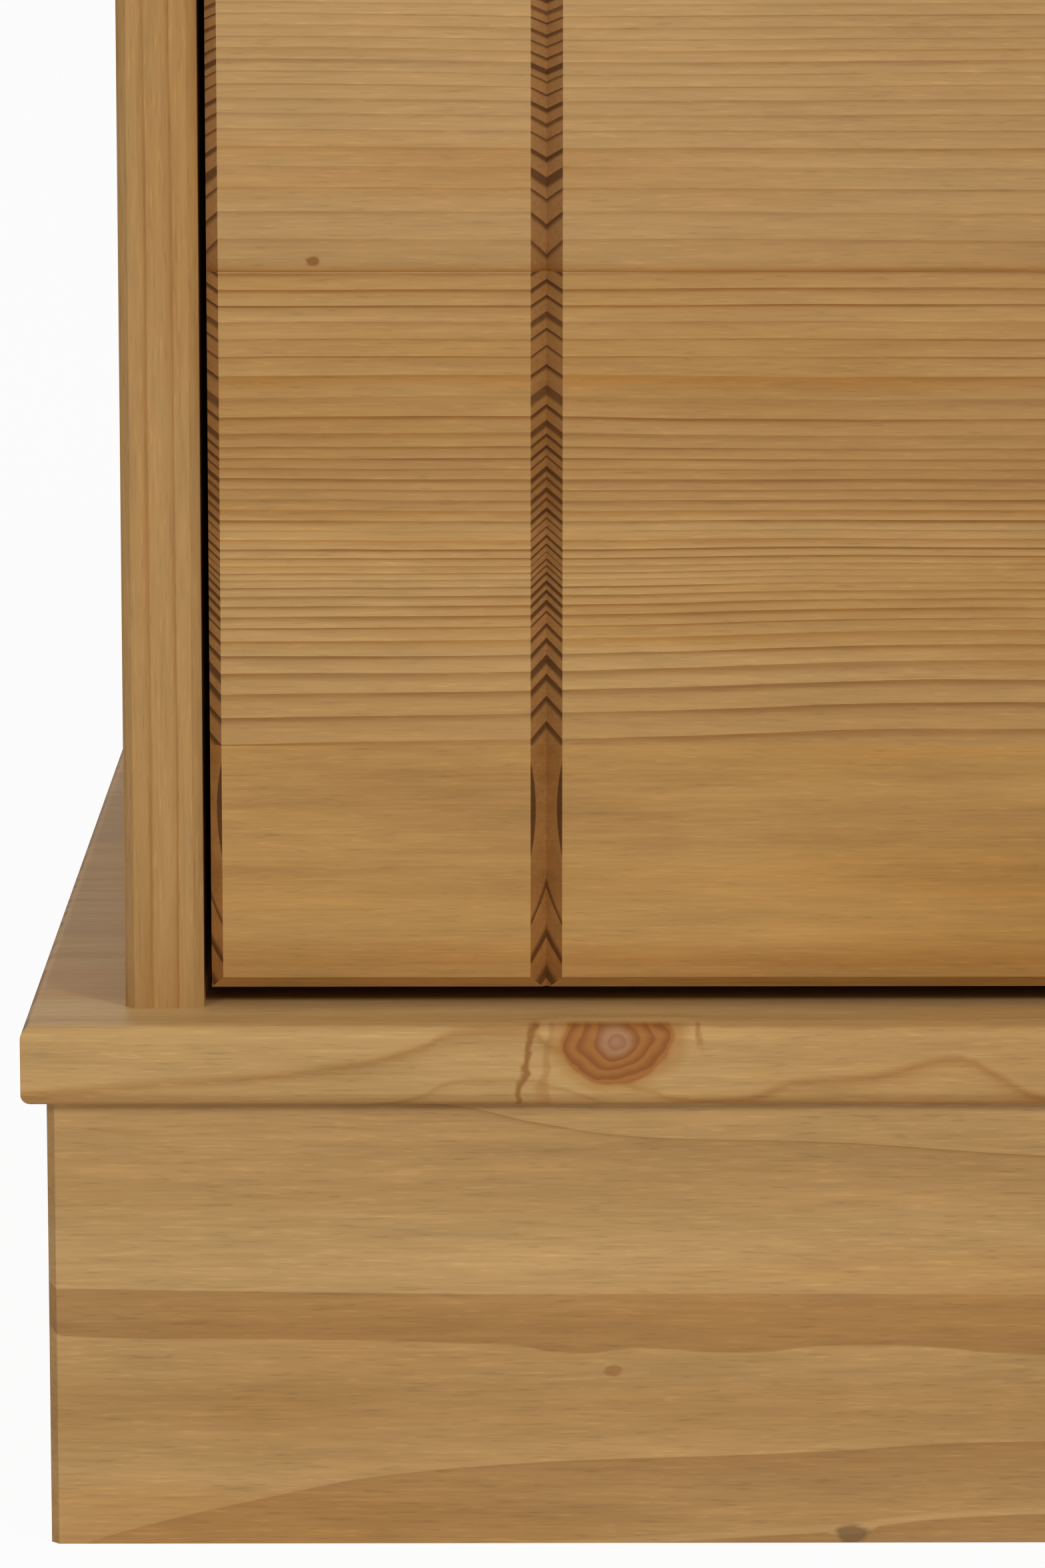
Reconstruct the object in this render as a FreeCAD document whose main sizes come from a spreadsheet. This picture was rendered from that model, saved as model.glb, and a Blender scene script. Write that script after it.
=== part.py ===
import FreeCAD, Part
import math
import os
import Sketcher

# Pine chest of three drawers, in millimetres. The origin lies on the floor under the middle of
# the chest, with +X to the right, +Z up and the drawer fronts facing -Y.

doc = FreeCAD.newDocument("PineChest")
sizes = doc.addObject("Spreadsheet::Sheet", "Sizes")

driving_sizes = {
    # The chest over its top and base boards
    "overall_width": 900,
    "overall_depth": 450,
    "overall_height": 960,
    # Top and base boards, with rounded edges, which stand out past the carcass at the front and ends
    "top_thickness": 20,
    "base_thickness": 20,
    "side_overhang": 25,
    "front_overhang": 25,
    "edge_radius": 3,
    # Plinth of four boards, held back at the rear for a skirting board, with corner blocks
    "plinth_height": 115,
    "plinth_thickness": 20,
    "plinth_setback": 6,
    "plinth_arris": 2,
    "skirting_gap": 20,
    "block_leg": 45,
    "block_lift": 10,
    # Carcass sides, with rebates for the plywood back
    "side_thickness": 20,
    "side_bevel": 2.5,
    "back_thickness": 4,
    "back_recess": 1,
    "back_rebate": 8,
    "back_play": 0.3,
    # Play beside a tongue, tenon or dovetail, and room for glue at its end
    "joint_play": 0.1,
    "glue_room": 0.5,
    # Stopped tongues on the ends of the sides, which sit in grooves of the base and top boards
    "tongue_thickness": 8,
    "tongue_length": 8,
    "tongue_front_stop": 15,
    "tongue_rear_stop": 25,
    # Rails behind the drawer fronts and under the top, with stub tenons in the sides
    "rail_height": 20,
    "rail_depth": 60,
    "rail_gap": 0.5,
    "rear_rail_depth": 40,
    "tenon_thickness": 8,
    "tenon_length": 10,
    "tenon_shoulder": 10,
    # Runners under the drawer sides, with the play above and below a drawer
    "runner_width": 20,
    "runner_housing": 5,
    "runner_end_gap": 1,
    "slide_play": 0.3,
    "kick_play": 4,
    # Gaps round the inset drawer fronts
    "gap_side": 2,
    "gap_bottom": 5,
    "gap_between": 4,
    "gap_top": 6,
    # Drawer fronts, bevelled all round and cut with a V-groove near each end
    "front_thickness": 20,
    "front_bevel": 3,
    "groove_inset": 85,
    "groove_width": 8,
    "groove_depth": 4,
    # Drawer boxes, dovetailed into the fronts
    "box_side_thickness": 14,
    "box_back_thickness": 14,
    "box_back_inset": 12,
    "box_back_drop": 6,
    "housing_depth": 5,
    "rear_gap": 15,
    "tail_width": 24,
    "tail_length": 13,
    "tail_slope": 0.1667,
    "bottom_thickness": 4,
    "bottom_offset": 17,
    "bottom_seat": 7,
    "bottom_play": 0.2,
    # Turned knobs
    "knob_spacing": 300,
    "knob_diameter": 36,
    "knob_projection": 25,
    "knob_foot_diameter": 18,
    "knob_neck_diameter": 15,
    "knob_neck_reach": 8,
    "knob_rim_reach": 14,
    "knob_rim_height": 6,
    "knob_face_diameter": 30,
    "knob_dome_rise": 3,
    # Screws that hold the knobs from inside
    "knob_screw_diameter": 4,
    "knob_screw_seat": 12,
    "knob_screw_head": 8,
    "knob_screw_head_height": 2.6,
    "screw_play": 0.2,
    "screw_end_play": 1,
}

for row, (name, size) in enumerate(driving_sizes.items(), start=1):
    sizes.set(f"A{row}", name)
    sizes.set(f"B{row}", str(size))
    sizes.setAlias(f"B{row}", name)
doc.recompute()

DRAWER_NAMES = ("lower", "middle", "upper")
SIDES = {"left": -1, "right": 1}
TAIL_COUNT = 5

# The largest difference between like lengths, and the least volume that a cut takes away
SAME_LENGTH = 0.001
LEAST_CUT = 0.1

# Planes and levels that several pieces share, worked out from the driving sizes
HALF_WIDTH = "(Sizes.overall_width / 2)"
HALF_DEPTH = "(Sizes.overall_depth / 2)"
BASE_TOP = "(Sizes.plinth_height + Sizes.base_thickness)"
TOP_UNDER = "(Sizes.overall_height - Sizes.top_thickness)"
SIDE_OUTER = f"({HALF_WIDTH} - Sizes.side_overhang)"
SIDE_INNER = f"({SIDE_OUTER} - Sizes.side_thickness)"
SIDE_MIDDLE = f"({SIDE_OUTER} - Sizes.side_thickness / 2)"
CARCASS_FRONT = f"(Sizes.front_overhang - {HALF_DEPTH})"
BACK_REAR = f"({HALF_DEPTH} - Sizes.back_recess)"
BACK_FRONT = f"({BACK_REAR} - Sizes.back_thickness)"

# Drawer fronts share the height between base and top; half a rail overlaps each front
GAPS = f"(Sizes.gap_bottom + Sizes.gap_top + {len(DRAWER_NAMES) - 1} * Sizes.gap_between)"
FRONT_HEIGHT = f"(({TOP_UNDER} - {BASE_TOP} - {GAPS}) / {len(DRAWER_NAMES)})"
FRONT_HALF = f"({SIDE_INNER} - Sizes.gap_side)"
RAIL_LAP = "((Sizes.rail_height - Sizes.gap_between) / 2)"
RAIL_FRONT = f"({CARCASS_FRONT} + Sizes.front_thickness + Sizes.rail_gap)"
RAIL_REAR = f"({RAIL_FRONT} + Sizes.rail_depth)"
REAR_RAIL_FRONT = f"({BACK_FRONT} - Sizes.rear_rail_depth)"
KICKER_HEIGHT = f"(Sizes.gap_top + {RAIL_LAP})"
LOWER_RUNNER_TOP = f"({BASE_TOP} + Sizes.gap_bottom + {RAIL_LAP})"
RUNNER_INNER = f"({SIDE_INNER} - Sizes.runner_width)"
RUNNER_REAR = f"({BACK_FRONT} - Sizes.runner_end_gap)"

nodes = {}


def value(expression):
    """The number that an expression has now."""
    return float(sizes.evalExpression(expression))


def drawer_level(index):
    """Height of the bottom edge of a drawer front above the floor."""
    return f"({BASE_TOP} + Sizes.gap_bottom + {index} * ({FRONT_HEIGHT} + Sizes.gap_between))"


def rail_span(index):
    """Lower and upper face of the cross rail that is centred on the gap above a drawer."""
    middle = f"({drawer_level(index + 1)} - Sizes.gap_between / 2)"
    return (f"({middle} - Sizes.rail_height / 2)", f"({middle} + Sizes.rail_height / 2)")


def mirrored_span(sign, inner, outer):
    """A span on the left (-1) or right (+1) of the middle plane, lowest end first."""
    span = (f"({sign} * {inner})", f"({sign} * {outer})")
    return span if sign > 0 else span[::-1]


# Sketches and features

def new_sketch(body, name, plane, offset):
    """A sketch on one of the body's own planes, moved along that plane's normal."""
    sketch = body.newObject("Sketcher::SketchObject", name)
    support = next(item for item in body.Origin.OriginFeatures if item.Role == plane)
    sketch.AttachmentSupport = (support, [""])
    sketch.MapMode = "FlatFace"
    sketch.setExpression("AttachmentOffset.Base.z", offset)
    return sketch


def hold(sketch, kind, places, expression):
    """A dimension of the sketch that follows an expression."""
    number = sketch.addConstraint(Sketcher.Constraint(kind, *places, value(expression)))
    label = f"size{number}"
    sketch.renameConstraint(number, label)
    sketch.setExpression(f"Constraints.{label}", expression)


def hold_point(sketch, shape, end, point):
    """A point of the sketch at a distance along and up from the sketch's origin."""
    for kind, expression in zip(("DistanceX", "DistanceY"), point):
        hold(sketch, kind, (-1, 1, shape, end), expression)


def add_polygon(sketch, points):
    """A closed outline of straight lines."""
    first = sketch.GeometryCount
    rough = [FreeCAD.Vector(value(along), value(up)) for along, up in points]
    for start, finish in zip(rough, rough[1:] + rough[:1]):
        sketch.addGeometry(Part.LineSegment(start, finish))
    for i, point in enumerate(points):
        following = first + (i + 1) % len(points)
        sketch.addConstraint(Sketcher.Constraint("Coincident", first + i, 2, following, 1))
        hold_point(sketch, first + i, 1, point)


def add_rectangle(sketch, along, up):
    """A closed rectangle between two spans."""
    add_polygon(sketch, [(along[0], up[0]), (along[1], up[0]), (along[1], up[1]), (along[0], up[1])])


def add_circle(sketch, centre, radius):
    """A circle about a centre."""
    middle = FreeCAD.Vector(value(centre[0]), value(centre[1]))
    circle = sketch.addGeometry(Part.Circle(middle, FreeCAD.Vector(0, 0, 1), value(radius)))
    hold_point(sketch, circle, 3, centre)
    hold(sketch, "Radius", (circle,), radius)


def pad(body, sketch, length, along_normal=True, name="pad"):
    """Material raised from a sketch, along its normal or against it."""
    feature = body.newObject("PartDesign::Pad", name)
    feature.Profile = sketch
    feature.Reversed = not along_normal
    feature.setExpression("Length", length)
    return feature


def pocket(body, sketch, depth, along_normal, name):
    """Material cut away from a sketch, along its normal or against it."""
    feature = body.newObject("PartDesign::Pocket", name)
    feature.Profile = sketch
    feature.Reversed = along_normal
    feature.setExpression("Length", depth)
    return feature


def mirror_left_to_right(body, feature, name):
    """The same feature again on the other side of the middle plane."""
    copy = body.newObject("PartDesign::Mirrored", name)
    copy.Originals = [feature]
    copy.MirrorPlane = (next(f for f in body.Origin.OriginFeatures if f.Role == "YZ_Plane"), [""])
    body.Tip = copy
    return copy


def drill(body, name, plane, offset, centres, radius, depth, along_normal):
    """Round holes in a face of the body."""
    sketch = new_sketch(body, f"{name}_centres", plane, offset)
    for centre in centres:
        add_circle(sketch, centre, radius)
    return pocket(body, sketch, depth, along_normal, name)


def edge_names(feature, chosen):
    """The names of a feature's edges whose two ends pass a test."""
    names = []
    for number, edge in enumerate(feature.Shape.Edges, start=1):
        ends = [vertex.Point for vertex in edge.Vertexes]
        if chosen(ends[0], ends[-1]):
            names.append(f"Edge{number}")
    return names


def bevel_edges(body, size, chosen):
    """A 45 degree bevel on the edges whose two ends pass a test."""
    doc.recompute()
    feature = body.Tip
    bevel = body.newObject("PartDesign::Chamfer", "bevel")
    bevel.Base = (feature, edge_names(feature, chosen))
    bevel.setExpression("Size", size)


def round_edges(body, radius, chosen):
    """A rounding of the edges whose two ends pass a test."""
    doc.recompute()
    feature = body.Tip
    rounding = body.newObject("PartDesign::Fillet", "rounding")
    rounding.Base = (feature, edge_names(feature, chosen))
    rounding.setExpression("Radius", radius)


def widened(span, play):
    """A span with play at both of its ends."""
    return (f"({span[0]} - {play})", f"({span[1]} + {play})")


def near(first, second):
    """Whether two lengths are the same."""
    return abs(first - second) < SAME_LENGTH


def board(label, along_x, along_y, along_z):
    """A board as a body of its own, given by its spans along X, Y and Z."""
    body = doc.addObject("PartDesign::Body", label)
    outline = new_sketch(body, f"{label}_outline", "XY_Plane", along_z[0])
    add_rectangle(outline, along_x, along_y)
    pad(body, outline, f"{along_z[1]} - {along_z[0]}")
    nodes[label] = body
    return body


# Screws, and groups of like pieces

TURN_TO_FRONT = FreeCAD.Rotation(FreeCAD.Vector(1, 0, 0), 90)
TURN_TO_REAR = FreeCAD.Rotation(FreeCAD.Vector(1, 0, 0), -90)


def rod(name, start, turn, diameter, length):
    """A round rod that runs from its start in the direction that its turn gives."""
    item = doc.addObject("Part::Cylinder", name)
    item.Placement.Rotation = turn
    item.setExpression("Radius", f"{diameter} / 2")
    item.setExpression("Height", length)
    for letter, expression in zip("xyz", start):
        item.setExpression(f"Placement.Base.{letter}", expression)
    return item


def screw_to_front(name, seat, shank, head):
    """A screw that points to the front: its shank and its head meet at the seat of the head."""
    item = doc.addObject("Part::Fuse", name)
    item.Base = rod(f"{name}_shank", seat, TURN_TO_FRONT, *shank)
    item.Tool = rod(f"{name}_head", seat, TURN_TO_REAR, *head)
    return item


def group(label, items):
    """Like pieces that share one name."""
    together = doc.addObject("Part::Compound", label)
    together.Links = items
    nodes[label] = together


# Plinth: the front board runs the full width and covers the ends of the side boards, and a
# glued block in each corner holds the boards together and carries the base board
PLINTH_END = f"({HALF_WIDTH} - Sizes.plinth_setback)"
PLINTH_INSIDE = f"({PLINTH_END} - Sizes.plinth_thickness)"
PLINTH_FRONT = f"(Sizes.plinth_setback - {HALF_DEPTH})"
PLINTH_FRONT_REAR = f"({PLINTH_FRONT} + Sizes.plinth_thickness)"
PLINTH_REAR = f"({HALF_DEPTH} - Sizes.skirting_gap)"
PLINTH_REAR_FRONT = f"({PLINTH_REAR} - Sizes.plinth_thickness)"
PLINTH_UP = ("0", "Sizes.plinth_height")

plinth_front = board(
    "plinth_front", (f"-{PLINTH_END}", PLINTH_END), (PLINTH_FRONT, PLINTH_FRONT_REAR), PLINTH_UP)
bevel_edges(
    plinth_front, "Sizes.plinth_arris",
    lambda a, b: near(a.y, value(PLINTH_FRONT)) and near(b.y, a.y) and near(a.x, b.x))
board("plinth_back", (f"-{PLINTH_INSIDE}", PLINTH_INSIDE), (PLINTH_REAR_FRONT, PLINTH_REAR), PLINTH_UP)

for side, sign in SIDES.items():
    board(
        f"plinth_{side}", mirrored_span(sign, PLINTH_INSIDE, PLINTH_END),
        (PLINTH_FRONT_REAR, PLINTH_REAR), PLINTH_UP)
    wall = f"({sign} * {PLINTH_INSIDE})"
    for end, corner, inward in (("front", PLINTH_FRONT_REAR, 1), ("back", PLINTH_REAR_FRONT, -1)):
        label = f"plinth_block_{end}_{side}"
        block = doc.addObject("PartDesign::Body", label)
        outline = new_sketch(block, "triangle", "XY_Plane", "Sizes.block_lift")
        add_polygon(outline, [
            (wall, corner),
            (f"{wall} - {sign} * Sizes.block_leg", corner),
            (wall, f"{corner} + {inward} * Sizes.block_leg")])
        pad(block, outline, "Sizes.plinth_height - Sizes.block_lift")
        nodes[label] = block


# Base and top boards: the same rounded board, with a stopped groove for the tongue of each side
TONGUE_ACROSS = (
    f"({SIDE_MIDDLE} - Sizes.tongue_thickness / 2)", f"({SIDE_MIDDLE} + Sizes.tongue_thickness / 2)")
TONGUE_ALONG = (
    f"({CARCASS_FRONT} + Sizes.tongue_front_stop)", f"({HALF_DEPTH} - Sizes.tongue_rear_stop)")


def rounded_board(label, along_z, grooved_face, groove_up):
    """A board over the whole chest, rounded above and below along its front and its ends."""
    body = board(label, (f"-{HALF_WIDTH}", HALF_WIDTH), (f"-{HALF_DEPTH}", HALF_DEPTH), along_z)
    rear = value(HALF_DEPTH)
    round_edges(
        body, "Sizes.edge_radius", lambda a, b: near(a.z, b.z) and not (near(a.y, rear) and near(b.y, rear)))
    groove = new_sketch(body, "groove_outline", "XY_Plane", grooved_face)
    add_rectangle(
        groove, widened(TONGUE_ACROSS, "Sizes.joint_play"), widened(TONGUE_ALONG, "Sizes.joint_play"))
    cut = pocket(body, groove, "Sizes.tongue_length + Sizes.glue_room", groove_up, "tongue_groove")
    mirror_left_to_right(body, cut, "tongue_groove_left")


rounded_board("base_board", ("Sizes.plinth_height", BASE_TOP), BASE_TOP, False)
rounded_board("top_board", (TOP_UNDER, "Sizes.overall_height"), TOP_UNDER, True)


# Rails between the sides: two cross rails behind the gaps between the fronts, and a front and
# a rear rail under the top board, each with a stub tenon on each end
UNDER_TOP = (f"({TOP_UNDER} - {KICKER_HEIGHT})", TOP_UNDER)
rails = {
    "top_rail": ((RAIL_FRONT, RAIL_REAR), UNDER_TOP),
    "rear_rail": ((REAR_RAIL_FRONT, BACK_FRONT), UNDER_TOP),
}
for i, drawer_name in enumerate(DRAWER_NAMES[:-1]):
    rails[f"{drawer_name}_cross_rail"] = ((RAIL_FRONT, RAIL_REAR), rail_span(i))


def tenon_outline(along_y, along_z):
    """The section of a rail's tenon: shouldered at its front and rear, and centred in its height."""
    middle = f"(({along_z[0]} + {along_z[1]}) / 2)"
    across = (f"({along_y[0]} + Sizes.tenon_shoulder)", f"({along_y[1]} - Sizes.tenon_shoulder)")
    up = (f"({middle} - Sizes.tenon_thickness / 2)", f"({middle} + Sizes.tenon_thickness / 2)")
    return across, up


for label, (along_y, along_z) in rails.items():
    rail = board(label, (f"-{SIDE_INNER}", SIDE_INNER), along_y, along_z)
    outline = new_sketch(rail, "tenon_outline", "YZ_Plane", SIDE_INNER)
    add_rectangle(outline, *tenon_outline(along_y, along_z))
    tenon = pad(rail, outline, "Sizes.tenon_length", name="tenon")
    mirror_left_to_right(rail, tenon, "tenon_left")


# Runners and kickers: strips along the sides that carry a drawer and stop the one below from
# tipping. The middle and upper runners, level with the cross rails, are housed in the sides
housed_runners = {f"{name}_runner": rail_span(i) for i, name in enumerate(DRAWER_NAMES[1:])}
for side, sign in SIDES.items():
    glued_across = mirrored_span(sign, RUNNER_INNER, SIDE_INNER)
    housed_across = mirrored_span(sign, RUNNER_INNER, f"({SIDE_INNER} + Sizes.runner_housing)")
    board(f"lower_runner_{side}", glued_across, (RAIL_REAR, RUNNER_REAR), (BASE_TOP, LOWER_RUNNER_TOP))
    board(f"top_kicker_{side}", glued_across, (RAIL_REAR, REAR_RAIL_FRONT), UNDER_TOP)
    for label, along_z in housed_runners.items():
        board(f"{label}_{side}", housed_across, (RAIL_REAR, RUNNER_REAR), along_z)


# Plywood back, set in the rebates of the sides between the base and top boards
PANEL_HALF = f"({SIDE_INNER} + Sizes.back_rebate - Sizes.back_play)"
board(
    "back_panel", (f"-{PANEL_HALF}", PANEL_HALF), (BACK_FRONT, BACK_REAR),
    (f"({BASE_TOP} + Sizes.back_play)", f"({TOP_UNDER} - Sizes.back_play)"))


# Carcass sides: bevelled front arrises, a rebate for the back, a tongue on each end, and the
# mortises and housings of all that they carry
for side, sign in SIDES.items():
    outward = sign > 0
    carcass_side = board(
        f"side_{side}", mirrored_span(sign, SIDE_INNER, SIDE_OUTER), (CARCASS_FRONT, HALF_DEPTH),
        (BASE_TOP, TOP_UNDER))
    bevel_edges(
        carcass_side, "Sizes.side_bevel",
        lambda a, b: near(a.y, value(CARCASS_FRONT)) and near(b.y, a.y) and near(a.x, b.x))
    for end, plane, upward in (("base", BASE_TOP, False), ("top", TOP_UNDER, True)):
        outline = new_sketch(carcass_side, f"{end}_tongue_outline", "XY_Plane", plane)
        add_rectangle(outline, mirrored_span(sign, *TONGUE_ACROSS), TONGUE_ALONG)
        pad(carcass_side, outline, "Sizes.tongue_length", upward, f"{end}_tongue")

    rebate = new_sketch(carcass_side, "rebate_outline", "XY_Plane", BASE_TOP)
    add_rectangle(
        rebate, mirrored_span(sign, SIDE_INNER, f"({SIDE_INNER} + Sizes.back_rebate)"),
        (BACK_FRONT, HALF_DEPTH))
    pocket(carcass_side, rebate, f"{TOP_UNDER} - {BASE_TOP}", True, "back_rebate")

    inner_face = f"({sign} * {SIDE_INNER})"
    mortises = new_sketch(carcass_side, "mortise_outlines", "YZ_Plane", inner_face)
    for along_y, along_z in rails.values():
        across, up = tenon_outline(along_y, along_z)
        add_rectangle(mortises, widened(across, "Sizes.joint_play"), widened(up, "Sizes.joint_play"))
    pocket(carcass_side, mortises, "Sizes.tenon_length + Sizes.glue_room", outward, "mortises")

    housings = new_sketch(carcass_side, "housing_outlines", "YZ_Plane", inner_face)
    for along_z in housed_runners.values():
        add_rectangle(housings, (RAIL_REAR, BACK_FRONT), widened(along_z, "Sizes.joint_play"))
    pocket(carcass_side, housings, "Sizes.runner_housing + Sizes.glue_room", outward, "runner_housings")


# Drawers. Each is drawn with its front's face in the plane y = 0 and its lower edge at z = 0
BOX_BOTTOM = f"({RAIL_LAP} + Sizes.slide_play)"
BOX_TOP = f"({FRONT_HEIGHT} - {RAIL_LAP} - Sizes.kick_play)"
BOX_REAR = f"({BACK_FRONT} - Sizes.rear_gap - {CARCASS_FRONT})"
BOX_INNER = f"({FRONT_HALF} - Sizes.box_side_thickness)"
BOX_BACK_REAR = f"({BOX_REAR} - Sizes.box_back_inset)"
BOX_BACK_FRONT = f"({BOX_BACK_REAR} - Sizes.box_back_thickness)"
TAIL_END = "(Sizes.front_thickness - Sizes.tail_length)"
TAIL_NARROWING = "(Sizes.tail_length * Sizes.tail_slope)"
TAIL_PITCH = f"(({BOX_TOP} - {BOX_BOTTOM}) / {TAIL_COUNT})"
TAIL_LEVELS = [f"({BOX_BOTTOM} + {i + 0.5} * {TAIL_PITCH})" for i in range(TAIL_COUNT)]
BOTTOM_UNDER = f"({BOX_BOTTOM} + Sizes.bottom_offset)"
BOTTOM_TOP = f"({BOTTOM_UNDER} + Sizes.bottom_thickness)"
BOTTOM_SLOT = widened((BOTTOM_UNDER, BOTTOM_TOP), "Sizes.bottom_play / 2")
SLOT_HALF = f"({BOX_INNER} + Sizes.bottom_seat)"
KNOB_HOLE = "(Sizes.knob_screw_diameter / 2 + Sizes.screw_play)"
knob_columns = {"left": "(-Sizes.knob_spacing / 2)", "right": "(Sizes.knob_spacing / 2)"}


def tail_outline(level, play):
    """The four corners of a dovetail about its level, from its upper root round to its lower one."""
    root = f"(Sizes.tail_width / 2 - {TAIL_NARROWING} + {play})"
    end = f"(Sizes.tail_width / 2 + {play})"
    tip = f"({TAIL_END} - {play})"
    return [
        ("Sizes.front_thickness", f"({level} + {root})"),
        (tip, f"({level} + {end})"),
        (tip, f"({level} - {end})"),
        ("Sizes.front_thickness", f"({level} - {root})"),
    ]


def place_drawer_piece(body, index):
    """Moves a drawer's piece to its place in the chest."""
    body.setExpression("Placement.Base.y", CARCASS_FRONT)
    body.setExpression("Placement.Base.z", drawer_level(index))


def drawer_front(label):
    """A front with bevelled edges, two V-grooves, dovetail sockets and a slot for the bottom."""
    body = board(label, (f"-{FRONT_HALF}", FRONT_HALF), ("0", "Sizes.front_thickness"), ("0", FRONT_HEIGHT))
    bevel_edges(body, "Sizes.front_bevel", lambda a, b: near(a.y, 0) and near(b.y, 0))

    groove = new_sketch(body, "groove_section", "XY_Plane", "0")
    groove_middle = f"({FRONT_HALF} - Sizes.groove_inset)"
    add_polygon(groove, [
        (f"{groove_middle} - Sizes.groove_width / 2", "0"),
        (f"{groove_middle} + Sizes.groove_width / 2", "0"),
        (groove_middle, "Sizes.groove_depth")])
    cut = pocket(body, groove, FRONT_HEIGHT, True, "v_groove")
    mirror_left_to_right(body, cut, "v_groove_left")

    sockets = new_sketch(body, "socket_outlines", "YZ_Plane", f"{BOX_INNER} - Sizes.joint_play")
    for level in TAIL_LEVELS:
        add_polygon(sockets, tail_outline(level, "Sizes.joint_play"))
    cut = pocket(body, sockets, "Sizes.box_side_thickness + Sizes.joint_play", True, "sockets")
    mirror_left_to_right(body, cut, "sockets_left")

    slot = new_sketch(body, "slot_outline", "XZ_Plane", "-Sizes.front_thickness")
    add_rectangle(slot, (f"-{SLOT_HALF}", SLOT_HALF), BOTTOM_SLOT)
    pocket(body, slot, "Sizes.bottom_seat", True, "bottom_slot")

    middle = f"({FRONT_HEIGHT} / 2)"
    centres = [(column, middle) for column in knob_columns.values()]
    drill(body, "knob_holes", "XZ_Plane", "-Sizes.front_thickness", centres, KNOB_HOLE,
          "Sizes.front_thickness", True)
    return body


def drawer_side(label, sign):
    """A side with dovetails on its front end, a slot for the bottom and a housing for the back."""
    body = doc.addObject("PartDesign::Body", label)
    inner_face = f"({sign} * {BOX_INNER})"
    outline = new_sketch(body, "side_outline", "YZ_Plane", mirrored_span(sign, BOX_INNER, FRONT_HALF)[0])
    corners = [
        ("Sizes.front_thickness", BOX_BOTTOM),
        (BOX_REAR, BOX_BOTTOM),
        (BOX_REAR, BOX_TOP),
        ("Sizes.front_thickness", BOX_TOP)]
    for level in reversed(TAIL_LEVELS):
        corners += tail_outline(level, "0")
    add_polygon(outline, corners)
    pad(body, outline, "Sizes.box_side_thickness")

    slot = new_sketch(body, "slot_outline", "YZ_Plane", inner_face)
    add_rectangle(slot, (TAIL_END, BOX_REAR), BOTTOM_SLOT)
    pocket(body, slot, "Sizes.bottom_seat", sign > 0, "bottom_slot")

    housing = new_sketch(body, "housing_outline", "YZ_Plane", inner_face)
    add_rectangle(
        housing, widened((BOX_BACK_FRONT, BOX_BACK_REAR), "Sizes.joint_play"), (BOTTOM_SLOT[1], BOX_TOP))
    pocket(body, housing, "Sizes.housing_depth", sign > 0, "back_housing")
    nodes[label] = body
    return body


def turned_knob(name):
    """A knob turned about the Y axis: a waisted neck, a bevelled rim and a domed face."""
    body = doc.addObject("PartDesign::Body", name)
    profile = new_sketch(body, "half_profile", "XY_Plane", "0")
    rim = "(Sizes.knob_diameter / 2)"
    face = "(Sizes.knob_face_diameter / 2)"
    corners = [
        ("0", "-Sizes.knob_projection"),
        ("0", "0"),
        ("Sizes.knob_foot_diameter / 2", "0"),
        ("Sizes.knob_neck_diameter / 2", "-Sizes.knob_neck_reach"),
        (rim, "-Sizes.knob_rim_reach"),
        (rim, "-(Sizes.knob_rim_reach + Sizes.knob_rim_height)"),
        (face, "-(Sizes.knob_projection - Sizes.knob_dome_rise)")]
    rough = [FreeCAD.Vector(value(along), value(up)) for along, up in corners]
    for start, finish in zip(rough, rough[1:]):
        profile.addGeometry(Part.LineSegment(start, finish))
    last = profile.GeometryCount - 1

    rise = value("Sizes.knob_dome_rise")
    radius = (value(face) ** 2 + rise ** 2) / (2 * rise)
    centre = FreeCAD.Vector(0, radius - value("Sizes.knob_projection"))
    sphere_section = Part.Circle(centre, FreeCAD.Vector(0, 0, 1), radius)
    face_angle = -math.acos(value(face) / radius)
    dome = profile.addGeometry(Part.ArcOfCircle(sphere_section, -math.pi / 2, face_angle))
    for line in range(last):
        profile.addConstraint(Sketcher.Constraint("Coincident", line, 2, line + 1, 1))
    profile.addConstraint(Sketcher.Constraint("Coincident", dome, 1, 0, 1))
    profile.addConstraint(Sketcher.Constraint("Coincident", dome, 2, last, 2))
    profile.addConstraint(Sketcher.Constraint("PointOnObject", dome, 3, -2))
    for line in range(last + 1):
        hold_point(profile, line, 1, corners[line])
    hold_point(profile, last, 2, corners[-1])

    turned = body.newObject("PartDesign::Revolution", "turned")
    turned.Profile = profile
    turned.ReferenceAxis = (profile, ["V_Axis"])
    turned.Angle = 360
    drill(body, "screw_hole", "XZ_Plane", "0", [("0", "0")], KNOB_HOLE,
          "Sizes.knob_screw_seat + Sizes.screw_end_play", True)
    return body


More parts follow.
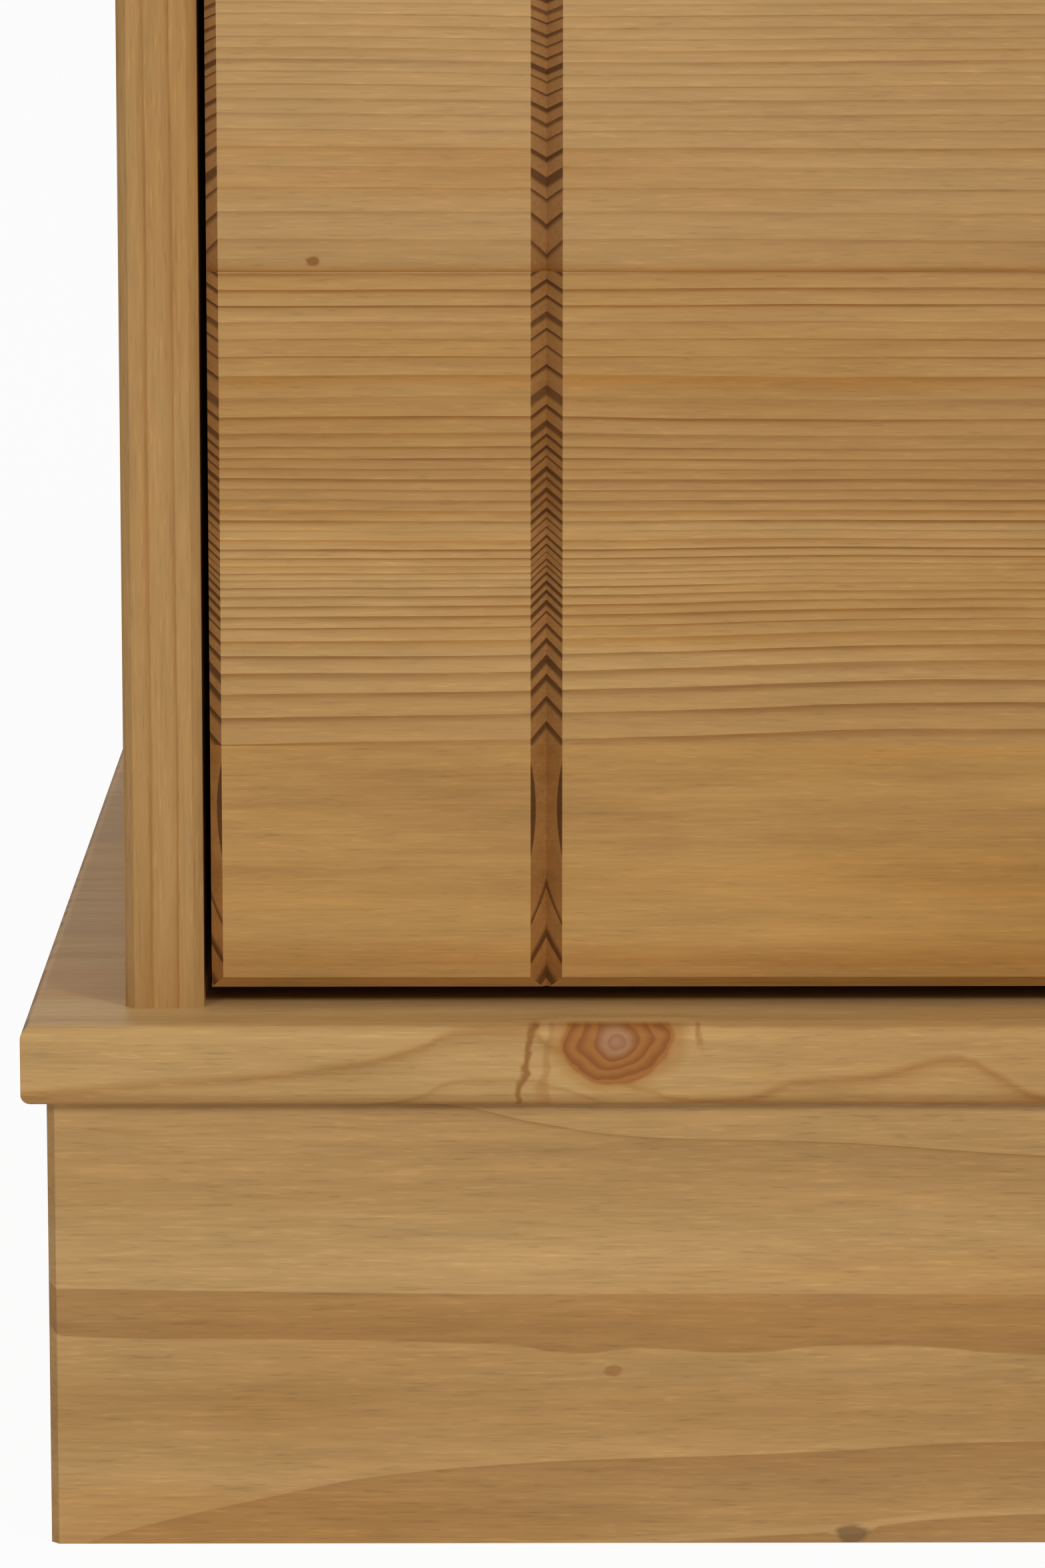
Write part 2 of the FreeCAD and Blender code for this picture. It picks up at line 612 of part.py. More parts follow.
for index, drawer_name in enumerate(DRAWER_NAMES):
    level = drawer_level(index)
    pieces = [drawer_front(f"{drawer_name}_front")]
    pieces += [drawer_side(f"{drawer_name}_{side}_side", sign) for side, sign in SIDES.items()]

    back_half = f"({BOX_INNER} + Sizes.housing_depth - Sizes.joint_play)"
    box_back = board(
        f"{drawer_name}_back", (f"-{back_half}", back_half), (BOX_BACK_FRONT, BOX_BACK_REAR),
        (BOTTOM_TOP, f"({BOX_TOP} - Sizes.box_back_drop)"))
    bottom_half = f"({SLOT_HALF} - Sizes.bottom_play)"
    bottom_front = "(Sizes.front_thickness - Sizes.bottom_seat + Sizes.bottom_play)"
    bottom = board(
        f"{drawer_name}_bottom", (f"-{bottom_half}", bottom_half), (bottom_front, BOX_BACK_REAR),
        (BOTTOM_UNDER, BOTTOM_TOP))
    pieces += [box_back, bottom]

    knobs = []
    knob_screws = []
    for side, column in knob_columns.items():
        knob = turned_knob(f"{drawer_name}_knob_{side}")
        knob.setExpression("Placement.Base.x", column)
        knob.setExpression("Placement.Base.y", CARCASS_FRONT)
        knob.setExpression("Placement.Base.z", f"{level} + {FRONT_HEIGHT} / 2")
        knobs.append(knob)
        seat = (column, f"{CARCASS_FRONT} + Sizes.front_thickness", f"{level} + {FRONT_HEIGHT} / 2")
        knob_screws.append(screw_to_front(
            f"{drawer_name}_knob_screw_{side}", seat,
            ("Sizes.knob_screw_diameter", "Sizes.front_thickness + Sizes.knob_screw_seat"),
            ("Sizes.knob_screw_head", "Sizes.knob_screw_head_height")))
    group(f"{drawer_name}_knobs", knobs)
    group(f"{drawer_name}_knob_screws", knob_screws)

    for piece in pieces:
        place_drawer_piece(piece, index)


# Every feature has to have worked, every cut has to have taken material away, and every piece
# has to be one sound solid, or as many as its group holds
doc.recompute()
for item in doc.Objects:
    if "Invalid" in item.State or "Error" in item.State:
        raise RuntimeError(f"{item.Label} failed: {item.State}")
    if item.TypeId == "PartDesign::Pocket" and item.Shape.Volume > item.BaseFeature.Shape.Volume - LEAST_CUT:
        raise RuntimeError(f"{item.Label} of {item.getParentGeoFeatureGroup().Label} cuts nothing")

for label, item in nodes.items():
    wanted = len(item.Links) if item.TypeId == "Part::Compound" else 1
    if item.Shape.isNull() or not item.Shape.isValid() or len(item.Shape.Solids) != wanted:
        raise RuntimeError(f"{label} is not sound")

os.makedirs("parts", exist_ok=True)
for label, item in nodes.items():
    item.Shape.exportStep(f"parts/{label}.step")
print(f"{len(nodes)} pieces written")
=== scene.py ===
import math
import random

import bmesh
import bpy
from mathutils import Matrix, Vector


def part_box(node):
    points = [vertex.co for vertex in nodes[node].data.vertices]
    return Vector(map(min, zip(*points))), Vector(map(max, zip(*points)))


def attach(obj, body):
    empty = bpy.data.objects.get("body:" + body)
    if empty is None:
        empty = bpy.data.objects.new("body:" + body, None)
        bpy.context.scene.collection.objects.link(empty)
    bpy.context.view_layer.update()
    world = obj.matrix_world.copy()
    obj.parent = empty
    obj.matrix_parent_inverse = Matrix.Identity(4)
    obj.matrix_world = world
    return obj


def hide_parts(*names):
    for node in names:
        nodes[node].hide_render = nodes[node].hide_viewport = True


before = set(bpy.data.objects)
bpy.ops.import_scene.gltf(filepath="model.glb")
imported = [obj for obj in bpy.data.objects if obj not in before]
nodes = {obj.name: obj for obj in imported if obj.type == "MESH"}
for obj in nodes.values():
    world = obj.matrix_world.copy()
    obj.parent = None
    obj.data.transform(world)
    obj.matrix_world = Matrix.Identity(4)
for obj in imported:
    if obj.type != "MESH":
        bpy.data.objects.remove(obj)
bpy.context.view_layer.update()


# Plinth: four pine boards on edge, butted and glued, with their outer corners eased by a plane.
# They carry the base board, and softwood blocks are glued into the corners behind them.
# The finish is a clear satin wax over an antique stain, which end grain soaks up darker.
def tint(red, green, blue):
    """A colour given as it looks on a screen, from 0 to 255, in the renderer's own numbers."""
    def linear(level):
        share = level / 255
        return share / 12.92 if share < 0.04045 else ((share + 0.055) / 1.055) ** 2.4
    return linear(red), linear(green), linear(blue), 1.0


def add_node(tree, kind, inputs=None, **settings):
    """A new shader node, its settings, and its inputs as numbers or as outputs to link from."""
    made = tree.nodes.new(kind)
    for name, setting in settings.items():
        setattr(made, name, setting)
    for name, given in (inputs or {}).items():
        if isinstance(given, bpy.types.NodeSocket):
            tree.links.new(given, made.inputs[name])
        else:
            made.inputs[name].default_value = given
    return made


def calc(tree, operation, first, second=0.0, third=0.0):
    """The result of one sum on numbers or outputs."""
    return add_node(tree, "ShaderNodeMath", {0: first, 1: second, 2: third}, operation=operation).outputs[0]


def rise(tree, number, start, end, low=0.0, high=1.0):
    """A smooth rise from low to high while a number goes from start to end."""
    inputs = {"Value": number, "From Min": start, "From Max": end, "To Min": low, "To Max": high}
    return add_node(tree, "ShaderNodeMapRange", inputs, interpolation_type="SMOOTHSTEP").outputs[0]


def blend(tree, share, first, second, kind="RGBA", mode="MIX"):
    """One colour or number turned into another by a share."""
    slots = {"RGBA": (6, 7, 2), "FLOAT": (2, 3, 0)}[kind]
    made = add_node(tree, "ShaderNodeMix", {0: share, slots[0]: first, slots[1]: second}, data_type=kind)
    if kind == "RGBA":
        made.blend_type = mode
    return made.outputs[slots[2]]


def split(tree, kind, mixed):
    """The three parts of a vector or a colour."""
    return add_node(tree, f"ShaderNodeSeparate{kind}", {0: mixed}).outputs


def drawn_curve(tree, number, points, handle="AUTO"):
    """A number from 0 to 1 put through a curve that is drawn through points."""
    made = add_node(tree, "ShaderNodeFloatCurve", {"Value": number})
    curve = made.mapping.curves[0]
    for x, y in points[1:-1]:
        curve.points.new(x, y)
    curve.points[0].location = points[0]
    curve.points[-1].location = points[-1]
    for point in curve.points:
        point.handle_type = handle
    made.mapping.update()
    return made.outputs[0]


def speckle(tree, place, stretch, seed, detail=2.0):
    """Noise stretched along the grain: its number and its colour."""
    start = seed if isinstance(seed, bpy.types.NodeSocket) else (seed, seed, seed)
    moved = add_node(tree, "ShaderNodeVectorMath", {0: place, 1: stretch, 2: start}, operation="MULTIPLY_ADD")
    made = add_node(tree, "ShaderNodeTexNoise", {"Vector": moved.outputs[0], "Scale": 1.0, "Detail": detail})
    return made.outputs[0], made.outputs[1]


def new_group(name, inputs, outputs):
    """An empty node group with named sockets, its inputs to read and its outputs to feed."""
    tree = bpy.data.node_groups.new(name, "ShaderNodeTree")
    for label, kind in inputs.items():
        tree.interface.new_socket(name=label, in_out="INPUT", socket_type=f"NodeSocket{kind}")
    for label, kind in outputs.items():
        tree.interface.new_socket(name=label, in_out="OUTPUT", socket_type=f"NodeSocket{kind}")
    return tree, tree.nodes.new("NodeGroupInput").outputs, tree.nodes.new("NodeGroupOutput").inputs


def use_group(tree, group, inputs):
    """A node group placed in a material with its own values."""
    made = add_node(tree, "ShaderNodeGroup", node_tree=group)
    for name, given in inputs.items():
        if isinstance(given, bpy.types.NodeSocket):
            tree.links.new(given, made.inputs[name])
        else:
            made.inputs[name].default_value = given
    return made.outputs


def radius_group():
    """How far a point lies from the middle of the tree, whose stem wanders a little."""
    tree, given, gives = new_group(
        "pine_radius",
        {"Place": "Vector", "Pith Depth": "Float", "Pith Across": "Float", "Drift Depth": "Float",
         "Drift Across": "Float", "Seed": "Float"},
        {"Radius": "Float"})
    swing = speckle(tree, given["Place"], (2.4, 7.0, 7.0), given["Seed"])[1]
    ripple = speckle(tree, given["Place"], (13.0, 45.0, 45.0), given["Seed"])[1]
    both = add_node(tree, "ShaderNodeVectorMath", {0: ripple, 1: (0.16, 0.16, 0.16), 2: swing},
                    operation="MULTIPLY_ADD").outputs[0]
    centred = add_node(tree, "ShaderNodeVectorMath", {0: both, 1: (0.58, 0.58, 0.58)},
                       operation="SUBTRACT").outputs[0]
    shift = split(tree, "XYZ", centred)
    parts = split(tree, "XYZ", given["Place"])
    depth = calc(tree, "MULTIPLY_ADD", shift[1], given["Drift Depth"], parts[1])
    depth = calc(tree, "SUBTRACT", depth, given["Pith Depth"])
    across = calc(tree, "MULTIPLY_ADD", shift[2], given["Drift Across"], parts[2])
    across = calc(tree, "SUBTRACT", across, given["Pith Across"])
    square = calc(tree, "MULTIPLY_ADD", depth, depth, calc(tree, "MULTIPLY", across, across))
    tree.links.new(calc(tree, "SQRT", square), gives["Radius"])
    return tree


def figure_group():
    """Growth rings, fibres, flecks and broad tones of sawn pine, on faces along and across the grain."""
    tree, given, gives = new_group(
        "pine_figure",
        {"Place": "Vector", "Rings": "Float", "End": "Float", "Seed": "Float", "Contrast": "Float",
         "Soft": "Float", "Thin": "Float", "Uneven": "Float", "Streaks": "Float", "Shade": "Color",
         "Early": "Color", "Late": "Color", "Amber": "Color", "End Early": "Color", "End Late": "Color"},
        {"Colour": "Color", "Roughness": "Float", "Height": "Float"})
    place, seed = given["Place"], given["Seed"]
    fibre = speckle(tree, place, (60.0, 1300.0, 1300.0), seed, 3.0)[0]
    thread = speckle(tree, place, (30.0, 430.0, 430.0), seed)[0]
    streak = speckle(tree, place, (10.0, 150.0, 150.0), seed)
    cloud = speckle(tree, place, (4.5, 36.0, 36.0), seed)
    fleck = speckle(tree, place, (130.0, 1500.0, 1500.0), seed, 1.0)[0]

    # A year's ring darkens slowly and ends sharply; years differ in strength and in where the dark starts
    within = calc(tree, "FRACT", given["Rings"])
    tree_number = calc(tree, "MULTIPLY", seed, 17.3)
    year = calc(tree, "ADD", calc(tree, "FLOOR", given["Rings"]), tree_number)
    luck = add_node(tree, "ShaderNodeTexWhiteNoise", {"W": year}, noise_dimensions="1D").outputs
    lot = split(tree, "Color", luck[1])
    start = blend(tree, given["Thin"], calc(tree, "MULTIPLY_ADD", lot[1], 0.42, 0.4), 0.86, "FLOAT")
    line = rise(tree, within, start, 0.95)
    swell = rise(tree, within, blend(tree, given["Thin"], 0.1, 0.7, "FLOAT"), 0.97)
    stop = rise(tree, within, calc(tree, "SUBTRACT", 1.0, given["Soft"]), 1.0, 1.0, 0.0)
    dark = calc(tree, "MULTIPLY_ADD", line, 0.66, calc(tree, "MULTIPLY", swell, 0.34))
    strong = blend(tree, given["Uneven"], 0.7, calc(tree, "MULTIPLY_ADD", luck[0], 0.75, 0.3), "FLOAT")
    fade = rise(tree, split(tree, "Color", streak[1])[1], 0.34, 0.62, 0.5, 1.1)
    fade = blend(tree, given["Uneven"], 0.88, fade, "FLOAT")
    late = calc(tree, "MULTIPLY", calc(tree, "MULTIPLY", dark, stop), calc(tree, "MULTIPLY", strong, fade))

    # End grain shows the dark wood of a year as a band, broad in some years and narrow in others
    begin = calc(tree, "MULTIPLY_ADD", lot[1], 0.4, 0.3)
    sharp = rise(tree, within, begin, calc(tree, "ADD", begin, 0.28))
    sharp = calc(tree, "MULTIPLY", sharp, rise(tree, within, 0.94, 1.0, 1.0, 0.0))
    end_late = calc(tree, "MULTIPLY", sharp, calc(tree, "MULTIPLY_ADD", luck[0], 0.4, 0.8))

    # Fibres, threads, broad streaks and clouds, and dark and light flecks lighten or darken all of it
    tone = calc(tree, "MULTIPLY_ADD", fibre, 0.3, 0.7)
    tone = calc(tree, "MULTIPLY_ADD", thread, 0.3, tone)
    broad = calc(tree, "MULTIPLY_ADD", streak[0], 0.2, calc(tree, "MULTIPLY_ADD", cloud[0], 0.18, -0.19))
    tone = calc(tree, "MULTIPLY_ADD", broad, given["Streaks"], tone)
    tone = calc(tree, "SUBTRACT", tone, rise(tree, fleck, 0.6, 0.76, 0.0, 0.14))
    tone = calc(tree, "ADD", tone, rise(tree, fleck, 0.4, 0.26, 0.0, 0.13))

    along = blend(tree, calc(tree, "MULTIPLY", late, given["Contrast"]), given["Early"], given["Late"])
    amber_year = rise(tree, lot[2], 0.7, 0.95, 0.0, 0.6)
    amber_line = calc(tree, "MULTIPLY", amber_year, calc(tree, "MULTIPLY", swell, given["Uneven"]))
    amber_cloud = rise(tree, split(tree, "Color", cloud[1])[1], 0.5, 0.72, 0.0, 0.4)
    warm = calc(tree, "MULTIPLY_ADD", amber_line, given["Contrast"], amber_cloud)
    along = blend(tree, warm, along, given["Amber"])
    across = blend(tree, end_late, given["End Early"], given["End Late"])
    colour = blend(tree, given["End"], along, across)
    colour = blend(tree, 1.0, colour, given["Shade"], mode="MULTIPLY")
    tree.links.new(blend(tree, 1.0, colour, tone, mode="MULTIPLY"), gives["Colour"])
    sheen = calc(tree, "MULTIPLY_ADD", fibre, 0.2, 0.42)
    tree.links.new(calc(tree, "MULTIPLY_ADD", given["End"], 0.12, sheen), gives["Roughness"])
    tree.links.new(calc(tree, "MULTIPLY_ADD", late, 0.5, fibre), gives["Height"])
    return tree


def knot_group():
    """A branch cut across: rings, an amber rim, seams at its sides, and how far it pushes the grain aside."""
    tree, given, gives = new_group(
        "pine_knot",
        {"U": "Float", "V": "Float", "Centre U": "Float", "Centre V": "Float", "Size": "Float",
         "Stretch": "Float", "Reach": "Float", "Seams": "Float", "Seed": "Float"},
        {"Disc": "Float", "Push": "Float", "Colour": "Color"})
    u = calc(tree, "DIVIDE", calc(tree, "SUBTRACT", given["U"], given["Centre U"]), given["Size"])
    v = calc(tree, "DIVIDE", calc(tree, "SUBTRACT", given["V"], given["Centre V"]), given["Size"])
    u = calc(tree, "DIVIDE", u, given["Stretch"])
    place = add_node(tree, "ShaderNodeCombineXYZ", {0: u, 1: v, 2: given["Seed"]}).outputs[0]
    uneven = speckle(tree, place, (0.9, 0.9, 0.9), given["Seed"], 1.0)[0]
    away = calc(tree, "SQRT", calc(tree, "MULTIPLY_ADD", u, u, calc(tree, "MULTIPLY", v, v)))
    away = calc(tree, "MULTIPLY", away, calc(tree, "MULTIPLY_ADD", uneven, 0.65, 0.68))
    tree.links.new(rise(tree, away, 0.9, given["Reach"], 1.0, 0.0), gives["Push"])

    wobble = speckle(tree, place, (1.6, 1.6, 1.6), given["Seed"])[0]
    wobble = calc(tree, "MULTIPLY_ADD", wobble, 0.5, -0.25)
    ring = calc(tree, "FRACT", calc(tree, "MULTIPLY_ADD", away, 4.4, calc(tree, "MULTIPLY", wobble, 2.5)))
    band = calc(tree, "MULTIPLY", rise(tree, ring, 0.1, 0.8), rise(tree, ring, 0.82, 1.0, 1.0, 0.0))
    inner = blend(tree, band, tint(169, 123, 89), tint(155, 109, 75))
    outer = blend(tree, band, tint(164, 107, 54), tint(142, 87, 42))
    body = blend(tree, rise(tree, away, 0.2, 0.46), inner, outer)
    rim = blend(tree, rise(tree, away, 0.98, 1.06), body, tint(172, 122, 60))
    halo = rise(tree, away, 1.0, 1.4, 0.6, 0.0)

    girth = calc(tree, "ADD", calc(tree, "MULTIPLY_ADD", v, 0.14, calc(tree, "ABSOLUTE", u)), wobble)
    near = rise(tree, calc(tree, "ABSOLUTE", calc(tree, "SUBTRACT", girth, 1.25)), 0.03, 0.16, 0.45, 0.0)
    far = rise(tree, calc(tree, "ABSOLUTE", calc(tree, "SUBTRACT", girth, 1.65)), 0.02, 0.1, 0.85, 0.0)
    short = blend(tree, rise(tree, u, -0.2, 0.2), 1.0, rise(tree, v, -0.35, 0.1, 0.0, 0.7), "FLOAT")
    seam = calc(tree, "MULTIPLY", calc(tree, "MAXIMUM", near, far), short)
    seam = calc(tree, "MULTIPLY", calc(tree, "MULTIPLY", seam, rise(tree, away, 1.0, 1.15)), given["Seams"])
    cover = calc(tree, "MAXIMUM", rise(tree, away, 0.96, 1.05, 1.0, 0.0), halo)
    tree.links.new(calc(tree, "MAXIMUM", cover, seam), gives["Disc"])
    tree.links.new(blend(tree, seam, rim, tint(134, 88, 42)), gives["Colour"])
    return tree


pine_radius = radius_group()
pine_figure = figure_group()
pine_knot = knot_group()

WAXED_PINE = {
    "Early": tint(184, 146, 91), "Late": tint(138, 92, 43), "Amber": tint(172, 122, 57),
    "End Early": tint(153, 107, 57), "End Late": tint(90, 55, 25)}
BARE_PINE = {
    "Early": tint(214, 184, 136), "Late": tint(178, 134, 82), "Amber": tint(206, 164, 108),
    "End Early": tint(186, 146, 98), "End Late": tint(140, 94, 52)}
# A darker brown that tones mix in: for the wood's own broad tones, and for painted shade in some places.
TONE_AND_SHADE_BROWN = (0.86, 0.8, 0.72)


def pine_board(name, axes, staves, finish, knots=(), arris=(0.3, 0.75)):
    """A pine material; axes are the ways of the grain, the thickness and the width of the board.

    A stave is where it starts, the middle of its tree in thickness and width, how far that drifts both
    ways, its ring width or a growth curve, and its seed, contrast and shade. Soft is how gently a ring
    ends, thin how narrow its line is, uneven how much rings differ, streaks how strong broad tones are.
    A bend moves the figure across, by a curve along the grain, more and more from one height to another.
    Tones are shares of a darker brown, a common one or their own, by a curve along one of the ways; most
    are the wood's own broad tones, and some are painted shade. A knot lies in two ways. Arris is how far a
    face has turned to the grain where end grain starts and is full.
    """
    material = bpy.data.materials.new(name)
    material.use_nodes = True
    tree = material.node_tree
    shader = tree.nodes["Principled BSDF"]
    parts = split(tree, "XYZ", add_node(tree, "ShaderNodeTexCoord").outputs["Object"])
    place = add_node(tree, "ShaderNodeCombineXYZ", {i: parts[axis] for i, axis in enumerate(axes)}).outputs[0]
    facing = split(tree, "XYZ", add_node(tree, "ShaderNodeNewGeometry").outputs["Normal"])[axes[0]]
    end = rise(tree, calc(tree, "ABSOLUTE", facing), *arris)

    push = 0.0
    discs = []
    for knot in knots:
        cut = use_group(tree, pine_knot, {
            "U": parts[knot["ways"][0]], "V": parts[knot["ways"][1]], "Centre U": knot["at"][0],
            "Centre V": knot["at"][1], "Size": knot["size"], "Stretch": knot.get("stretch", 1.0),
            "Reach": knot.get("reach", 2.2), "Seams": knot.get("seams", 0.0), "Seed": knot.get("seed", 1.0)})
        shift, disc = cut["Push"], cut["Disc"]
        if "fade" in knot:
            way, start, stop, far_stop = knot["fade"]
            disc = calc(tree, "MULTIPLY", disc, rise(tree, parts[way], start, stop, 1.0, 0.0))
            shift = calc(tree, "MULTIPLY", shift, rise(tree, parts[way], start, far_stop, 1.0, 0.0))
        push = calc(tree, "MULTIPLY_ADD", shift, knot["push"], push)
        disc = calc(tree, "MULTIPLY", disc, knot.get("strength", 1.0))
        discs.append((disc, knot.get("colour", cut["Colour"])))

    mixed = None
    for stave in staves:
        across = parts[axes[2]]
        for none_at, full_at, (start, stop), amount, points in stave.get("bends", ()):
            along = calc(tree, "DIVIDE", calc(tree, "SUBTRACT", parts[axes[0]], start), stop - start)
            sway = calc(tree, "SUBTRACT", drawn_curve(tree, along, points), 0.5)
            sway = calc(tree, "MULTIPLY", sway, amount)
            across = calc(tree, "MULTIPLY_ADD", sway, rise(tree, parts[axes[2]], none_at, full_at), across)
        bent = add_node(tree, "ShaderNodeCombineXYZ", {
            0: parts[axes[0]], 1: parts[axes[1]], 2: across}).outputs[0]
        radius = use_group(tree, pine_radius, {
            "Place": bent, "Pith Depth": stave["pith"][0], "Pith Across": stave["pith"][1],
            "Drift Depth": stave["drift"][0], "Drift Across": stave["drift"][1],
            "Seed": stave["seed"]})["Radius"]
        if "growth" in stave:
            near, far, count, points = stave["growth"]
            share = calc(tree, "DIVIDE", calc(tree, "SUBTRACT", radius, near), far - near)
            grown = drawn_curve(tree, share, points, stave.get("handle", "AUTO"))
            rings = calc(tree, "MULTIPLY", grown, count)
        else:
            uneven = add_node(tree, "ShaderNodeTexNoise", {
                "W": calc(tree, "DIVIDE", radius, 7 * stave["width"]), "Scale": 1.0, "Detail": 1.0},
                noise_dimensions="1D").outputs[0]
            rings = calc(tree, "MULTIPLY_ADD", uneven, 2.0, calc(tree, "DIVIDE", radius, stave["width"]))
        own = {"rings": calc(tree, "ADD", rings, stave.get("first", 0.0)), "seed": stave["seed"],
               "contrast": stave.get("contrast", 0.75), "soft": stave.get("soft", 0.035),
               "thin": stave.get("thin", 0.0), "uneven": stave.get("uneven", 1.0),
               "streaks": stave.get("streaks", 1.0),
               "shade": (*stave.get("shade", (1.0, 1.0, 1.0)), 1.0)}
        for way, start, stop, points, *brown in stave.get("tones", ()):
            level = calc(tree, "DIVIDE", calc(tree, "SUBTRACT", parts[way], start), stop - start)
            share = drawn_curve(tree, level, points)
            darker = (*(brown[0] if brown else TONE_AND_SHADE_BROWN), 1.0)
            own["shade"] = blend(tree, share, own["shade"], darker, mode="MULTIPLY")
        if mixed is None:
            mixed = own
        else:
            beyond = calc(tree, "GREATER_THAN", parts[axes[2]], stave["start"])
            mixed = {name: blend(tree, beyond, mixed[name], own[name], "RGBA" if name == "shade" else "FLOAT")
                     for name in own}
    wood = use_group(tree, pine_figure, {
        "Place": place, "Rings": calc(tree, "ADD", mixed["rings"], push), "End": end, "Seed": mixed["seed"],
        "Contrast": mixed["contrast"], "Soft": mixed["soft"], "Thin": mixed["thin"],
        "Uneven": mixed["uneven"], "Streaks": mixed["streaks"], "Shade": mixed["shade"], **finish})
    colour = wood["Colour"]
    for disc, shade in discs:
        colour = blend(tree, disc, colour, shade)
    bump = add_node(tree, "ShaderNodeBump", {"Height": wood["Height"], "Strength": 0.35, "Distance": 0.0002})
    tree.links.new(colour, shader.inputs["Base Color"])
    tree.links.new(wood["Roughness"], shader.inputs["Roughness"])
    tree.links.new(bump.outputs[0], shader.inputs["Normal"])
    shader.inputs["Specular IOR Level"].default_value = 0.16
    return material


def glued_staves(start, end, count, seed, depth):
    """Staves of about one width, edge to edge, each from another part of the tree."""
    luck = random.Random(seed)
    width = (end - start) / count
    staves = []
    for i in range(count):
        middle = start + width * (i + 0.5)
        away = luck.choice((-1, 1)) * luck.uniform(0.03, 0.14)
        drift = luck.uniform(0.003, 0.008)
        tone = luck.uniform(0.92, 1.06)
        staves.append({
            "start": start + width * i, "pith": (depth + away, middle + luck.uniform(-0.6, 0.6) * width),
            "width": luck.uniform(0.0028, 0.0055), "drift": (drift, drift), "seed": luck.uniform(2, 60),
            "shade": (tone, tone * luck.uniform(0.97, 1.02), tone * luck.uniform(0.92, 1.04))})
    return staves


def finish_node(node, material):
    """Gives a CAD piece its material."""
    mesh = nodes[node].data
    mesh.materials.clear()
    mesh.materials.append(material)


PLINTH_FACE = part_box("plinth_front")[0].y
PLINTH_LENGTH = (-0.444, 0.444)
PLINTH_HEIGHT = 0.115
band_waves = (
    (0.0, 0.33), (0.017, 0.4), (0.076, 0.415), (0.132, 0.45), (0.151, 0.555), (0.168, 0.495),
    (0.19, 0.555), (0.203, 0.56), (0.214, 0.5), (0.236, 0.47), (0.256, 0.505), (0.282, 0.585),
    (0.4, 0.5), (0.55, 0.58), (0.7, 0.42), (0.85, 0.55), (1.0, 0.45))
plinth_front_staves = [{
    "pith": (PLINTH_FACE + 1.0, -1.0), "drift": (0.004, 0.008), "seed": 3.0, "first": -0.2,
    "handle": "VECTOR", "growth": (1.41421, 1.49774, 2.4, (
        (0.0, 0.03), (0.02, 0.07), (0.03, 0.1), (0.037, 0.38), (0.085, 0.4), (0.185, 0.43), (0.195, 0.445),
        (0.205, 0.515), (0.25, 0.55), (0.33, 0.56), (0.425, 0.52), (0.44, 0.48), (0.5, 0.475),
        (0.557, 0.48), (0.567, 0.515), (0.7, 0.6), (0.83, 0.69), (0.9, 0.76), (0.917, 0.8), (0.922, 0.93),
        (1.0, 0.97))),
    "tones": (("Z", 0.0, PLINTH_HEIGHT, (
        (0.0, 0.1), (0.11, 0.05), (0.19, 0.35), (0.25, 0.75), (0.32, 1.0), (0.38, 0.6), (0.45, 0.3),
        (0.53, 0.1), (0.65, 0.0), (0.74, 0.25), (0.82, 0.65), (0.9, 0.5), (1.0, 0.1))),),
    "bends": (
        (0.052, 0.004, PLINTH_LENGTH, 0.06, (
            (0.0, 0.97), (0.024, 0.847), (0.062, 0.722), (0.1, 0.623), (0.14, 0.562), (0.177, 0.531),
            (0.215, 0.499), (0.284, 0.415), (0.4, 0.45), (0.6, 0.6), (0.8, 0.5), (1.0, 0.3))),
        (0.0635, 0.0555, PLINTH_LENGTH, 0.02, band_waves),
        (0.047, 0.036, PLINTH_LENGTH, -0.02, band_waves),
        (0.068, 0.1, PLINTH_LENGTH, 0.04, (
            (0.0, 0.2), (0.108, 0.295), (0.14, 0.42), (0.177, 0.51), (0.215, 0.52), (0.284, 0.61), (0.5, 0.7),
            (0.75, 0.45), (1.0, 0.3)))),
    "contrast": 0.8, "uneven": 0.2, "streaks": 1.5, "shade": (1.045, 1.07, 1.16)}]
plinth_knots = [
    {"ways": "XZ", "at": (-0.3012, 0.0451), "size": 0.0013, "stretch": 1.5, "push": 0.02, "strength": 0.5,
     "colour": tint(146, 92, 42)},
    {"ways": "XZ", "at": (-0.2403, 0.0022), "size": 0.0022, "stretch": 1.7, "push": 0.05, "seed": 6.0,
     "strength": 0.7, "colour": tint(112, 84, 56)}]
PLINTH_PINE = dict(WAXED_PINE, **{"End Early": tint(132, 92, 50), "End Late": tint(104, 68, 34)})
PLINTH_ARRIS = (0.6, 0.92)
finish_node("plinth_front", pine_board(
    "waxed_plinth_front", "XYZ", plinth_front_staves, PLINTH_PINE, plinth_knots, PLINTH_ARRIS))
for node, axes, seed in (("plinth_back", "XYZ", 11), ("plinth_left", "YXZ", 12), ("plinth_right", "YXZ", 13)):
    low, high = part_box(node)
    depth = low.y if axes[1] == "Y" else low.x
    staves = glued_staves(low.z, high.z, 1, seed, depth)
    finish_node(node, pine_board(f"waxed_{node}", axes, staves, PLINTH_PINE))
for node in ("plinth_block_front_left", "plinth_block_front_right", "plinth_block_back_left",
             "plinth_block_back_right"):
    low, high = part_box(node)
    staves = glued_staves(low.y, high.y, 1, len(node), low.x)
    finish_node(node, pine_board(f"bare_{node}", "ZXY", staves, BARE_PINE))


